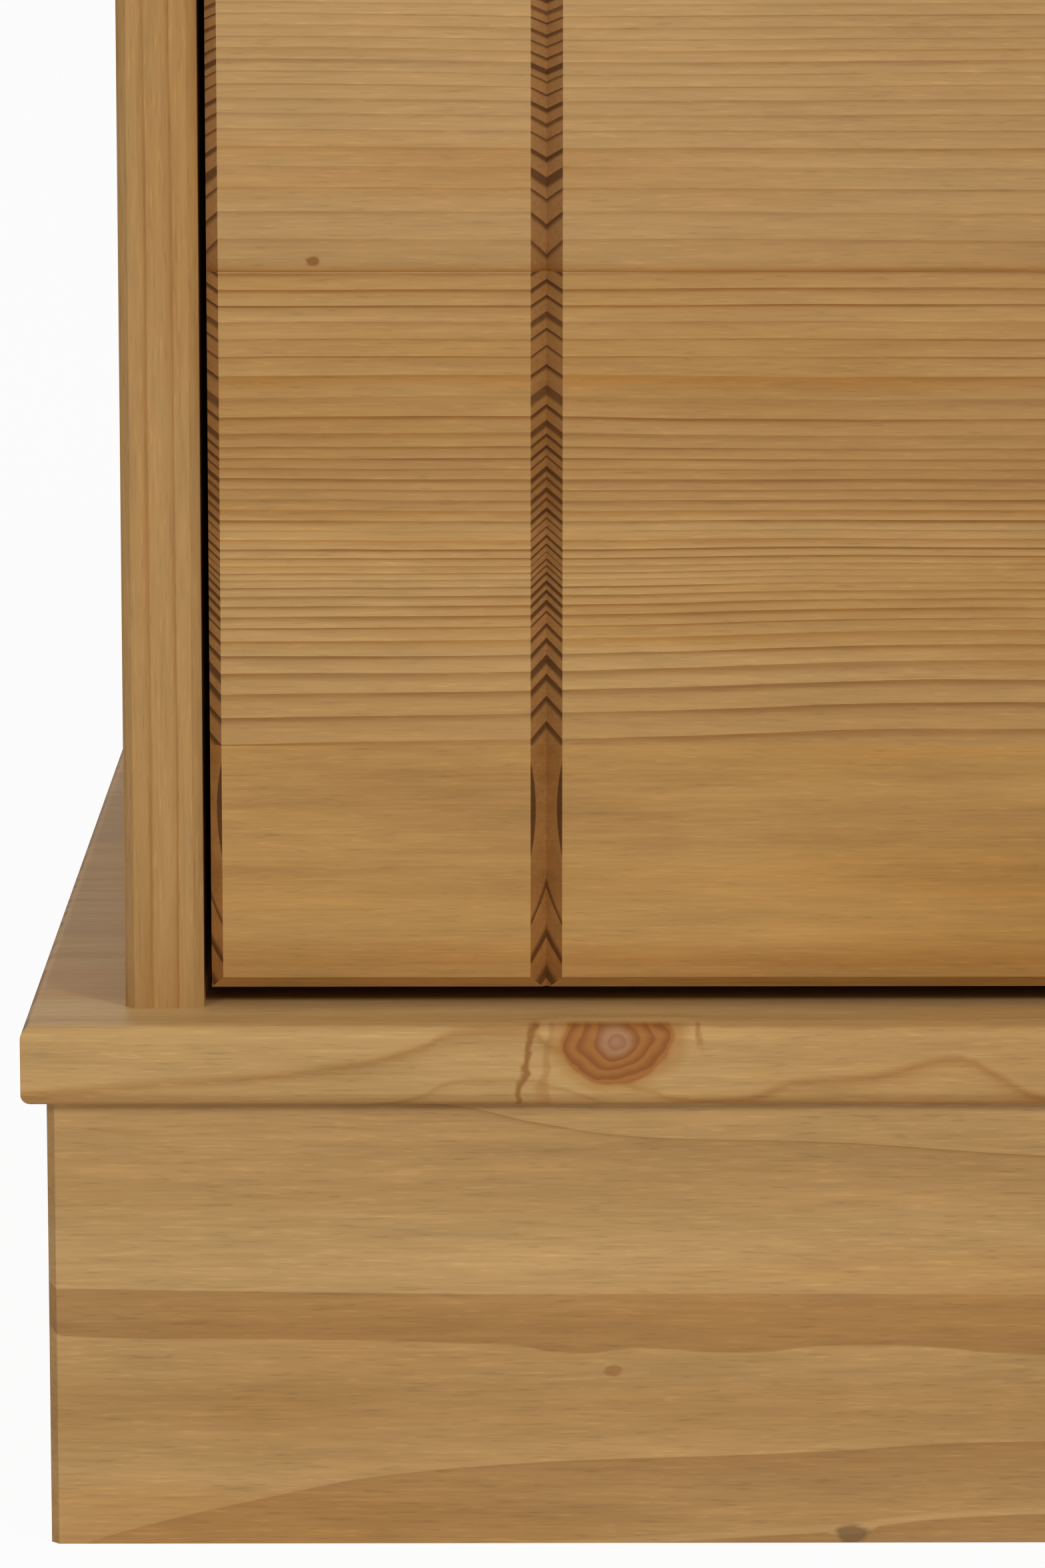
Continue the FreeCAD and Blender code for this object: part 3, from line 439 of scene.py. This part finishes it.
# Base board: edge-glued pine staves planed to one thickness, with its outer edges rounded over.
# It lies on the plinth and stands out past the sides, and a branch was sawn through near its front edge.
base_low, base_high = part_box("base_board")
BASE_LENGTH = (-0.45, 0.45)
FRONT_EDGE_DEPTH = 0.0026
base_staves = glued_staves(base_low.y, base_high.y, 5, 21, base_low.z)
# Painted light: the stave behind the front edge, which holds the top of the board near the front, is made
# lighter and greyer than the front, as painted light from above and a painted reflection of the white
# surroundings.
base_staves[0].update({
    "pith": (0.03, -0.17), "width": 0.009, "drift": (0.006, 0.006), "seed": 7.0, "shade": (1.14, 1.2, 1.32)})
front_edge = dict(base_staves[0], shade=(1.11, 1.13, 1.18), streaks=2.0, drift=(0.0015, 0.0015))
front_edge["growth"] = (0.098, 0.122, 2.1, ((0.0, 0.0), (0.475, 0.476), (1.0, 0.72)))
front_edge["bends"] = ((-0.2, -0.2225, BASE_LENGTH, 0.08, (
    (0.0, 0.4), (0.045, 0.457), (0.084, 0.522), (0.112, 0.667), (0.13, 0.8), (0.15, 0.75), (0.175, 0.45),
    (0.192, 0.366), (0.216, 0.457), (0.234, 0.481), (0.244, 0.515), (0.254, 0.57), (0.26, 0.585),
    (0.268, 0.531), (0.276, 0.451), (0.283, 0.389), (0.32, 0.3), (0.5, 0.5), (0.78, 0.2), (1.0, 0.4))),)
front_edge["tones"] = (
    ("X", *BASE_LENGTH, (
        (0.0, 0.0), (0.16, 0.05), (0.22, 0.5), (0.28, 0.65), (0.5, 0.3), (0.75, 0.5), (1.0, 0.2))),
    # Painted shade: darkest along the bottom of the front, on the rounded lower edge that faces down.
    ("Z", base_low.z, base_high.z, ((0.0, 1.0), (0.12, 0.85), (0.17, 0.1), (0.3, 0.0), (1.0, 0.0))))
base_staves[0]["start"] = base_low.y + FRONT_EDGE_DEPTH
for stave in base_staves:
    stave.update({"contrast": 0.45, "soft": 0.25})
front_edge.update({"contrast": 0.7, "soft": 0.14, "thin": 0.6, "uneven": 0.5, "handle": "VECTOR"})
base_staves.insert(0, front_edge)
BASE_PINE = dict(WAXED_PINE, **{"End Early": tint(164, 124, 76), "End Late": tint(128, 88, 46)})
base_knots = [
    {"ways": "XZ", "at": (-0.301, 0.1314), "size": 0.0108, "stretch": 1.2, "push": 0.25, "seed": 4.0,
     "reach": 1.8, "seams": 1.0, "fade": ("Y", -0.2225, -0.214, -0.19)}]
finish_node("base_board", pine_board("waxed_base_board", "XZY", base_staves, BASE_PINE, base_knots))


# Carcass sides: edge-glued pine panels with upright grain, tongued into the base and top boards.
# Their front edges show between the drawers and the ends, with narrow bevels.
for node, seed, outside in (("side_left", 31, -1), ("side_right", 32, 1)):
    low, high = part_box(node)
    staves = glued_staves(low.y, high.y, 5, seed, low.x)
    staves[0].update({"pith": ((low.x + high.x) / 2 + outside * 0.07, low.y + 0.012), "width": 0.0058,
                      "drift": (0.005, 0.005), "shade": (0.9, 0.85, 0.82), "contrast": 0.7, "thin": 0.9,
                      "uneven": 0.6})
    finish_node(node, pine_board(f"waxed_{node}", "ZXY", staves, WAXED_PINE))


# Cross rails, top rail and rear rail: plain pine strips, tenoned into the sides.
# They tie the carcass together and close the gaps behind the drawer fronts; they are left bare.
for seed, node in enumerate(("lower_cross_rail", "middle_cross_rail", "top_rail", "rear_rail"), start=41):
    low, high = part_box(node)
    staves = glued_staves(low.y, high.y, 1, seed, low.z)
    finish_node(node, pine_board(f"bare_{node}", "XZY", staves, BARE_PINE))


# Top board: like the base board, edge-glued staves with rounded edges, waxed.
# It is tongued onto the sides and carries whatever stands on the chest.
top_low, top_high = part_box("top_board")
top_staves = glued_staves(top_low.y, top_high.y, 5, 51, top_high.z)
top_knots = [
    {"ways": "XY", "at": (0.21, -0.085), "size": 0.011, "stretch": 1.3, "push": 1.6, "seed": 9.0},
    {"ways": "XY", "at": (-0.27, 0.07), "size": 0.008, "stretch": 1.2, "push": 1.2, "seed": 2.0}]
finish_node("top_board", pine_board("waxed_top_board", "XZY", top_staves, BASE_PINE, top_knots))


# Runners and kickers: straight beech strips along the sides, rubbed smooth by the drawers.
# The runners carry the drawers and the kickers keep the upper one from tipping.
# Each is held by three countersunk zinc-plated screws with a cross recess.
def beech_strip(name, axes, seed):
    """Pale pinkish beech with the short dark flecks of its rays along the grain."""
    material = bpy.data.materials.new(name)
    material.use_nodes = True
    tree = material.node_tree
    shader = tree.nodes["Principled BSDF"]
    parts = split(tree, "XYZ", add_node(tree, "ShaderNodeTexCoord").outputs["Object"])
    place = add_node(tree, "ShaderNodeCombineXYZ", {i: parts[axis] for i, axis in enumerate(axes)}).outputs[0]
    fleck = speckle(tree, place, (160.0, 1500.0, 1500.0), seed, 1.0)[0]
    cloud = speckle(tree, place, (4.0, 90.0, 90.0), seed)[0]
    colour = blend(tree, cloud, tint(206, 160, 118), tint(190, 140, 98))
    colour = blend(tree, rise(tree, fleck, 0.6, 0.7, 0.0, 0.6), colour, tint(140, 92, 58))
    bump = add_node(tree, "ShaderNodeBump", {"Height": fleck, "Strength": 0.2, "Distance": 0.0001})
    tree.links.new(colour, shader.inputs["Base Color"])
    tree.links.new(rise(tree, cloud, 0.3, 0.7, 0.34, 0.48), shader.inputs["Roughness"])
    tree.links.new(bump.outputs[0], shader.inputs["Normal"])
    return material


RUNNERS = ("lower_runner_left", "lower_runner_right", "middle_runner_left", "middle_runner_right",
           "upper_runner_left", "upper_runner_right", "top_kicker_left", "top_kicker_right")
for seed, node in enumerate(RUNNERS, start=61):
    finish_node(node, beech_strip(f"beech_{node}", "YXZ", float(seed)))


def plated_steel(name, light, dark):
    """Plated steel with a faint mottled sheen."""
    material = bpy.data.materials.new(name)
    material.use_nodes = True
    tree = material.node_tree
    shader = tree.nodes["Principled BSDF"]
    spot = add_node(tree, "ShaderNodeTexCoord").outputs["Object"]
    mottle = speckle(tree, spot, (900.0, 900.0, 900.0), 3.0)[0]
    tree.links.new(blend(tree, mottle, light, dark), shader.inputs["Base Color"])
    tree.links.new(rise(tree, mottle, 0.3, 0.7, 0.28, 0.42), shader.inputs["Roughness"])
    shader.inputs["Metallic"].default_value = 1.0
    return material


def turn(shape, profile, foot, way, segments):
    """Adds a turned form to a mesh: its outline is radius and reach, from a foot point along a way."""
    way = Vector(way)
    side = way.orthogonal().normalized()
    other = way.cross(side)
    rings = []
    for radius, reach in profile:
        middle = Vector(foot) + way * reach
        if radius == 0.0:
            rings.append([shape.verts.new(middle)] * segments)
            continue
        turns = [2 * math.pi * i / segments for i in range(segments)]
        spokes = [side * math.cos(angle) + other * math.sin(angle) for angle in turns]
        rings.append([shape.verts.new(middle + spoke * radius) for spoke in spokes])
    for lower, upper in zip(rings, rings[1:]):
        for i in range(segments):
            j = (i + 1) % segments
            corners = [lower[i], lower[j], upper[j], upper[i]]
            shape.faces.new([c for k, c in enumerate(corners) if c not in corners[:k]])
    return rings


SCREW_SEGMENTS = 32
RECESS_TAPER = 0.6


def cross_screw(shape, profile, foot, way, arm, half_slot, deep):
    """Adds a screw head to a mesh; its flat top, where the outline ends, has a cross recess."""
    rings = turn(shape, profile, foot, way, SCREW_SEGMENTS)
    way = Vector(way)
    side = way.orthogonal().normalized()
    other = way.cross(side)
    top = Vector(foot) + way * profile[-1][1]
    quarter = [(arm, -half_slot), (arm, half_slot), (half_slot, half_slot)]
    outline = []
    for turn_number in range(4):
        for x, y in quarter:
            for _ in range(turn_number):
                x, y = -y, x
            outline.append((x, y))
    brim = [shape.verts.new(top + side * x + other * y) for x, y in outline]
    floor = [shape.verts.new(top + (side * x + other * y) * RECESS_TAPER - way * deep) for x, y in outline]
    count = len(outline)
    edges = [shape.edges.new((brim[i], brim[(i + 1) % count])) for i in range(count)]
    edges += [shape.edges.get((rings[-1][i], rings[-1][i - 1])) for i in range(SCREW_SEGMENTS)]
    bmesh.ops.triangle_fill(shape, use_beauty=True, edges=edges)
    for i in range(count):
        j = (i + 1) % count
        shape.faces.new((brim[i], brim[j], floor[j], floor[i]))
    shape.faces.new(floor)


def make_piece(name, shape, material, body, smooth_below=math.radians(35)):
    """Turns a finished mesh into a piece that rides on a body."""
    bmesh.ops.recalc_face_normals(shape, faces=shape.faces)
    for face in shape.faces:
        face.smooth = True
    for edge in shape.edges:
        if len(edge.link_faces) == 2 and edge.calc_face_angle() > smooth_below:
            edge.smooth = False
    mesh = bpy.data.meshes.new(name)
    shape.to_mesh(mesh)
    shape.free()
    mesh.materials.append(material)
    piece = bpy.data.objects.new(name, mesh)
    bpy.context.scene.collection.objects.link(piece)
    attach(piece, body)
    return piece


zinc = plated_steel("zinc_plate", tint(196, 196, 190), tint(160, 160, 152))
SUNK_HEAD = ((0.0, -0.0012), (0.0022, -0.0012), (0.0035, 0.0), (0.0034, 0.00015), (0.003, 0.0002))
RUNNER_SCREW_SHARES = (0.12, 0.5, 0.88)
runner_screws = bmesh.new()
for node in RUNNERS:
    low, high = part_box(node)
    inward = 1.0 if low.x < 0 else -1.0
    face = high.x if inward > 0 else low.x
    for share in RUNNER_SCREW_SHARES:
        spot = (face, low.y + share * (high.y - low.y), (low.z + high.z) / 2)
        cross_screw(
            runner_screws, SUNK_HEAD, spot, (inward, 0.0, 0.0), arm=0.0019, half_slot=0.00045, deep=0.0009)
make_piece("runner_screw_heads", runner_screws, zinc, "carcass")


# Back panel: thin plywood set into rebates at the back of the sides, with upright face grain.
# Its edges show the three plies, and a row of small wire nails holds it along both rebates.
def plywood(name, axes, sheet_start, sheet_end, seed):
    """Birch-faced plywood; axes are the ways of the face grain, the thickness and the width."""
    material = bpy.data.materials.new(name)
    material.use_nodes = True
    tree = material.node_tree
    shader = tree.nodes["Principled BSDF"]
    parts = split(tree, "XYZ", add_node(tree, "ShaderNodeTexCoord").outputs["Object"])
    place = add_node(tree, "ShaderNodeCombineXYZ", {i: parts[axis] for i, axis in enumerate(axes)}).outputs[0]
    rings = calc(tree, "MULTIPLY", speckle(tree, place, (1.4, 9.0, 9.0), seed, 1.5)[0], 24.0)
    wood = use_group(tree, pine_figure, {
        "Place": place, "Rings": rings, "End": 0.0, "Seed": seed, "Contrast": 0.35, "Soft": 0.035,
        "Thin": 0.0, "Uneven": 1.0, "Streaks": 1.0, "Shade": (1.0, 1.0, 1.0, 1.0),
        "Early": tint(219, 190, 146), "Late": tint(190, 152, 106), "Amber": tint(208, 172, 124),
        "End Early": tint(190, 150, 104), "End Late": tint(140, 100, 62)})
    level = calc(tree, "SUBTRACT", parts[axes[1]], sheet_start)
    level = calc(tree, "DIVIDE", level, sheet_end - sheet_start)
    ply = calc(tree, "FLOOR", calc(tree, "MULTIPLY", 3.0, level))
    core = calc(tree, "COMPARE", ply, 1.0, 0.3)
    facing = split(tree, "XYZ", add_node(tree, "ShaderNodeNewGeometry").outputs["Normal"])[axes[1]]
    edge = rise(tree, calc(tree, "ABSOLUTE", facing), 0.2, 0.6, 1.0, 0.0)
    colour = blend(tree, calc(tree, "MULTIPLY", edge, core), wood["Colour"], tint(136, 98, 60))
    bump = add_node(tree, "ShaderNodeBump", {"Height": wood["Height"], "Strength": 0.2, "Distance": 0.0001})
    tree.links.new(colour, shader.inputs["Base Color"])
    tree.links.new(wood["Roughness"], shader.inputs["Roughness"])
    tree.links.new(bump.outputs[0], shader.inputs["Normal"])
    return material


back_low, back_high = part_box("back_panel")
finish_node("back_panel", plywood("ply_back_panel", "ZYX", back_low.y, back_high.y, 71.0))
bright_steel = plated_steel("bright_wire", tint(170, 168, 162), tint(128, 126, 120))
NAIL_HEAD = ((0.0018, -0.0003), (0.0018, 0.00015), (0.0015, 0.0004), (0.0008, 0.00055), (0.0, 0.0006))
NAIL_SEGMENTS = 16
NAIL_INSET = 0.004
NAIL_ROW = 8
back_nails = bmesh.new()
for x in (back_low.x + NAIL_INSET, back_high.x - NAIL_INSET):
    for i in range(NAIL_ROW):
        z = back_low.z + (back_high.z - back_low.z) * (i + 0.5) / NAIL_ROW
        turn(back_nails, NAIL_HEAD, (x, back_high.y, z), (0.0, 1.0, 0.0), NAIL_SEGMENTS)
make_piece("back_panel_nails", back_nails, bright_steel, "carcass")


# Drawer sides and backs: planed pine boards left bare inside the chest.
# The sides are dovetailed into the fronts, and the backs stand in housings cut across the sides.
DRAWERS = ("lower", "middle", "upper")
for number, drawer in enumerate(DRAWERS):
    for offset, (piece, axes) in enumerate((("left_side", "YXZ"), ("right_side", "YXZ"), ("back", "XYZ"))):
        node = f"{drawer}_{piece}"
        low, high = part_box(node)
        depth = low.x if axes[1] == "X" else low.y
        staves = glued_staves(low.z, high.z, 1, 81 + 5 * number + offset, depth)
        finish_node(node, pine_board(f"bare_{node}", axes, staves, BARE_PINE))


# Drawer bottoms: thin plywood that slides into grooves from behind, under the drawer back.
# The face grain runs from side to side, and small wire pins hold the sheet up to the back.
PIN_SHARES = (0.08, 0.36, 0.64, 0.92)
for number, drawer in enumerate(DRAWERS):
    node = f"{drawer}_bottom"
    low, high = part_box(node)
    finish_node(node, plywood(f"ply_{node}", "XZY", low.z, high.z, 101.0 + number))
    back_board_low, back_board_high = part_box(f"{drawer}_back")
    pin_row = (back_board_low.y + back_board_high.y) / 2
    pins = bmesh.new()
    for share in PIN_SHARES:
        x = low.x + share * (high.x - low.x)
        turn(pins, NAIL_HEAD, (x, pin_row, low.z), (0.0, 0.0, -1.0), NAIL_SEGMENTS)
    make_piece(f"{drawer}_bottom_pins", pins, bright_steel, f"{drawer}_drawer")


# Drawer fronts: three pine staves glued edge to edge, planed, bevelled all round and waxed.
# Two V-grooves are cut straight across the grain, where the stain has soaked into the end grain.
FRONT_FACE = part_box("lower_front")[0].y
STEADY = (0.006, 0.006)
FRONT_LENGTH = (-0.403, 0.403)
LOWEST_FOOT = 0.14
LOWER_JOINT = 0.2025
UPPER_JOINT = 0.322
LOWEST_HEAD = 0.402
# Painted shade: the fronts grow darker towards the right, where the light falls off; the lowest and the upper
# staves take their own browns for it.
painted_shade_to_the_right = ("X", *FRONT_LENGTH, (
    (0.0, 0.0), (0.12, 0.0), (0.25, 0.27), (0.45, 0.2), (0.65, 0.3), (0.85, 0.1), (1.0, 0.2)))
fronts = {"lower": [
    {"pith": (-0.056, 0.0455), "drift": (0.001, 0.004), "seed": 5.0, "contrast": 0.36, "soft": 0.3,
     "streaks": 2.4, "shade": (1.04, 0.98, 0.87), "tones": (
         (*painted_shade_to_the_right, (0.68, 0.7, 0.55)),
         # Painted shade darkens the foot over the bottom bevel, which faces down, together with the wood's
         # own darker band there; higher up the bands are the wood's own tones.
         ("Z", LOWEST_FOOT, LOWER_JOINT, (
             (0.0, 1.0), (0.06, 1.0), (0.17, 0.7), (0.29, 0.25), (0.42, 0.6), (0.54, 0.25), (0.68, 0.0),
             (0.8, 0.0), (0.9, 0.45), (1.0, 0.5)))),
     "handle": "VECTOR", "growth": (0.0518, 0.0745, 4, (
         (0.0, 0.0), (0.251, 0.25), (0.467, 0.4), (0.52, 0.5), (0.753, 0.75), (1.0, 1.0)))},
    {"start": 0.0625, "pith": (0.162, -0.0853), "drift": STEADY, "seed": 8.0, "contrast": 1.1,
     "uneven": 0.8, "shade": (1.04, 1.04, 1.06), "tones": (
         painted_shade_to_the_right,
         ("Z", LOWER_JOINT, UPPER_JOINT, (
             (0.0, 0.6), (0.09, 0.5), (0.15, 0.05), (0.42, 0.1), (0.48, 0.4), (0.54, 1.0), (0.67, 0.75),
             (0.75, 0.45), (0.87, 0.2), (0.95, 0.25), (0.985, 0.5), (1.0, 1.0)))),
     "growth": (0.2194, 0.3158, 36, (
         (0.0, 0.0), (0.16, 0.111), (0.275, 0.25), (0.35, 0.389), (0.514, 0.611), (0.61, 0.722),
         (0.776, 0.833), (1.0, 1.0))),
     "bends": ((0.29, 0.21, FRONT_LENGTH, 0.02, (
         (0.0, 0.5), (0.1, 0.48), (0.26, 0.31), (0.5, 0.4), (0.75, 0.55), (1.0, 0.45))),)},
    {"start": 0.182, "pith": (-0.044, 0.1424), "drift": STEADY, "seed": 6.0, "contrast": 0.62,
     "uneven": 0.6, "shade": (1.05, 1.06, 1.17), "tones": (
         (*painted_shade_to_the_right, (0.72, 0.64, 0.5)),
         ("Z", UPPER_JOINT, LOWEST_HEAD, (
             (0.0, 1.0), (0.02, 0.8), (0.08, 0.6), (0.17, 0.25), (0.36, 0.0), (0.46, 0.2), (0.65, 0.15),
             (1.0, 0.05))),
         ("Z", UPPER_JOINT, LOWEST_HEAD, (
             (0.0, 1.0), (0.005, 0.9), (0.01, 0.6), (0.015, 0.35), (0.03, 0.1), (0.05, 0.0), (1.0, 0.0)),
          (0.74, 0.58, 0.36))),
     "growth": (0.0595, 0.118, 17, ((0.0, 0.0), (0.3, 0.2), (0.6, 0.48), (0.85, 0.8), (1.0, 1.0)))}]}
fronts["middle"] = [
    {"pith": (-0.07, 0.02), "width": 0.0036, "drift": (0.003, 0.005), "seed": 15.0,
     "shade": (1.0, 0.97, 0.9)},
    {"start": 0.088, "pith": (0.12, 0.0), "width": 0.0031, "drift": STEADY, "seed": 18.0, "contrast": 0.9},
    {"start": 0.171, "pith": (-0.09, 0.2), "width": 0.0042, "drift": STEADY, "seed": 16.0,
     "shade": (1.03, 1.05, 1.08)}]
fronts["upper"] = [
    {"pith": (0.1, -0.06), "width": 0.0028, "drift": STEADY, "seed": 25.0, "contrast": 0.9},
    {"start": 0.1, "pith": (-0.08, 0.14), "width": 0.004, "drift": (0.003, 0.006), "seed": 28.0,
     "shade": (0.98, 0.94, 0.86)},
    {"start": 0.19, "pith": (0.15, 0.06), "width": 0.003, "drift": STEADY, "seed": 26.0,
     "shade": (1.03, 1.04, 1.1)}]
front_knots = {
    "lower": [{"ways": "XZ", "at": (-0.3762, 0.3247), "size": 0.0011, "stretch": 1.3, "push": 0.4,
               "seed": 3.0, "strength": 0.85, "colour": tint(132, 84, 38)}],
    "middle": [{"ways": "XZ", "at": (0.09, 0.628), "size": 0.009, "stretch": 1.3, "push": 1.4, "seed": 5.0}],
    "upper": [{"ways": "XZ", "at": (-0.24, 0.822), "size": 0.007, "stretch": 1.2, "push": 1.2, "seed": 8.0}]}
for drawer in DRAWERS:
    node = f"{drawer}_front"
    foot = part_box(node)[0].z
    staves = []
    for stave in fronts[drawer]:
        raised = dict(stave, pith=(FRONT_FACE + stave["pith"][0], foot + stave["pith"][1]))
        raised["start"] = foot + stave.get("start", 0.0)
        staves.append(raised)
    finish_node(node, pine_board(f"waxed_{node}", "XYZ", staves, WAXED_PINE, front_knots[drawer]))


# Knobs: pine turned on a lathe, two to a drawer, waxed like the fronts.
# The grain runs through the knob, so its face shows end grain, and a pan-head screw from inside holds it.
KNOB_OUTLINE = (
    (0.0, 0.0), (0.0086, 0.0), (0.009, 0.0004), (0.009, 0.0012), (0.0084, 0.0026), (0.0077, 0.0048),
    (0.0075, 0.0068), (0.0078, 0.0086), (0.0092, 0.0104), (0.0122, 0.0119), (0.0152, 0.0131),
    (0.0173, 0.0146), (0.018, 0.0166), (0.0178, 0.0184), (0.0169, 0.0199), (0.0152, 0.0213),
    (0.0126, 0.0228), (0.0092, 0.0239), (0.0048, 0.0247), (0.0, 0.025))
KNOB_SEGMENTS = 56
PAN_HEAD = (
    (0.0037, 0.0), (0.004, 0.0003), (0.004, 0.001), (0.0037, 0.0017), (0.0031, 0.0023), (0.0026, 0.0026))
FRONT_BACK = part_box("lower_front")[1].y


def screw_outline(length, radius, root, pitch, ridges):
    """Radius and reach of a screw from its tip: a point, the ridges of its thread, a neck and its head."""
    outline = [(0.0, -length)]
    for i in range(ridges):
        start = -length + pitch * (i + 1)
        outline.append((min(root, root * (i + 1) / 3), start - pitch / 2))
        outline.append((min(radius, radius * (i + 1) / 3), start))
    return (*outline, (root, outline[-1][1] + pitch / 2), (root, 0.0), *PAN_HEAD)


KNOB_SCREW = screw_outline(
    FRONT_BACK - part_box("lower_knob_screws")[0].y, radius=0.002, root=0.0014, pitch=0.0013, ridges=17)
for number, drawer in enumerate(DRAWERS):
    low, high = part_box(f"{drawer}_knobs")
    level = (low.z + high.z) / 2
    radius = (high.z - low.z) / 2
    places = (low.x + radius, high.x - radius)
    knobs = bmesh.new()
    screws = bmesh.new()
    for x in places:
        turn(knobs, KNOB_OUTLINE, (x, FRONT_FACE, level), (0.0, -1.0, 0.0), KNOB_SEGMENTS)
        inside = (x, FRONT_BACK, level)
        cross_screw(screws, KNOB_SCREW, inside, (0.0, 1.0, 0.0), arm=0.0019, half_slot=0.0005, deep=0.0011)
    knob_staves = [{"pith": (-0.09, low.z - 0.03), "width": 0.0035, "drift": STEADY, "seed": 111.0 + number}]
    knob_pine = pine_board(f"waxed_{drawer}_knobs", "YXZ", knob_staves, WAXED_PINE)
    piece = make_piece(f"{drawer}_turned_knobs", knobs, knob_pine, f"{drawer}_drawer")
    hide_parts(f"{drawer}_knobs")
    piece = make_piece(f"{drawer}_pan_screws", screws, zinc, f"{drawer}_drawer")
    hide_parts(f"{drawer}_knob_screws")


# Studio: a pale floor, a soft light from the right of the front, a weaker one from the left, white around.
# The floor and the surroundings look white to the camera, and the floor keeps the shadow of the chest.
# The camera looks down a little at the lower left corner of the front, through a long lens.
FLOOR_SPREAD = 40.0
FLOOR_DROP = 0.0002
FLOOR_WHITE_SHARE = 0.95
floor_mesh = bpy.data.meshes.new("studio_floor")
floor_mesh.from_pydata(
    [(x * FLOOR_SPREAD, y * FLOOR_SPREAD, -FLOOR_DROP) for x, y in ((-1, -1), (1, -1), (1, 1), (-1, 1))],
    [], [(0, 1, 2, 3)])
floor = bpy.data.objects.new("studio_floor", floor_mesh)
bpy.context.scene.collection.objects.link(floor)


def seen_directly(tree):
    """One where the camera, a reflection or a clear material looks at the surroundings, else zero."""
    path = add_node(tree, "ShaderNodeLightPath").outputs
    seen = calc(tree, "MAXIMUM", path["Is Camera Ray"], path["Is Glossy Ray"])
    return calc(tree, "MAXIMUM", seen, path["Is Transmission Ray"])


floor_material = bpy.data.materials.new("studio_floor")
floor_material.use_nodes = True
tree = floor_material.node_tree
paper = add_node(tree, "ShaderNodeBsdfDiffuse", {"Color": (0.88, 0.88, 0.88, 1.0)}).outputs[0]
white = add_node(tree, "ShaderNodeEmission", {"Color": (1.0, 1.0, 1.0, 1.0), "Strength": 1.0}).outputs[0]
share = calc(tree, "MULTIPLY", seen_directly(tree), FLOOR_WHITE_SHARE)
mixed = add_node(tree, "ShaderNodeMixShader", {0: share, 1: paper, 2: white}).outputs[0]
tree.links.new(mixed, tree.nodes["Material Output"].inputs["Surface"])
floor_mesh.materials.append(floor_material)

world = bpy.data.worlds.new("studio")
world.use_nodes = True
bpy.context.scene.world = world
tree = world.node_tree
AMBIENT = 0.415
background = tree.nodes["Background"]
background.inputs["Color"].default_value = (1.0, 1.0, 1.0, 1.0)
tree.links.new(blend(tree, seen_directly(tree), AMBIENT, 1.0, "FLOAT"), background.inputs["Strength"])


def soft_light(name, place, target, width, power):
    """A square soft box aimed at a point."""
    lamp = bpy.data.lights.new(name, "AREA")
    lamp.size = width
    lamp.energy = power
    box = bpy.data.objects.new(name, lamp)
    box.location = place
    box.rotation_euler = (Vector(target) - Vector(place)).to_track_quat("-Z", "Y").to_euler()
    bpy.context.scene.collection.objects.link(box)


soft_light("key_light", (3.1, -4.5, 2.5), target=(0.0, 0.0, 0.45), width=1.0, power=117.0)
soft_light("fill_light", (-1.6, -2.4, 1.5), target=(0.0, 0.0, 0.4), width=0.7, power=17.0)

LOOK_DOWN = math.radians(9.4155)
LOOK_RIGHT = math.radians(0.2813)
camera_data = bpy.data.cameras.new("camera")
camera_data.sensor_width = 36.0
camera_data.lens = 147.467
camera_data.clip_end = 200.0
camera = bpy.data.objects.new("camera", camera_data)
camera.location = (-0.3319, -1.8, 0.458)
camera.rotation_euler = (math.radians(90.0) - LOOK_DOWN, 0.0, -LOOK_RIGHT)
bpy.context.scene.collection.objects.link(camera)
bpy.context.scene.camera = camera
bpy.context.scene.view_settings.view_transform = "Standard"
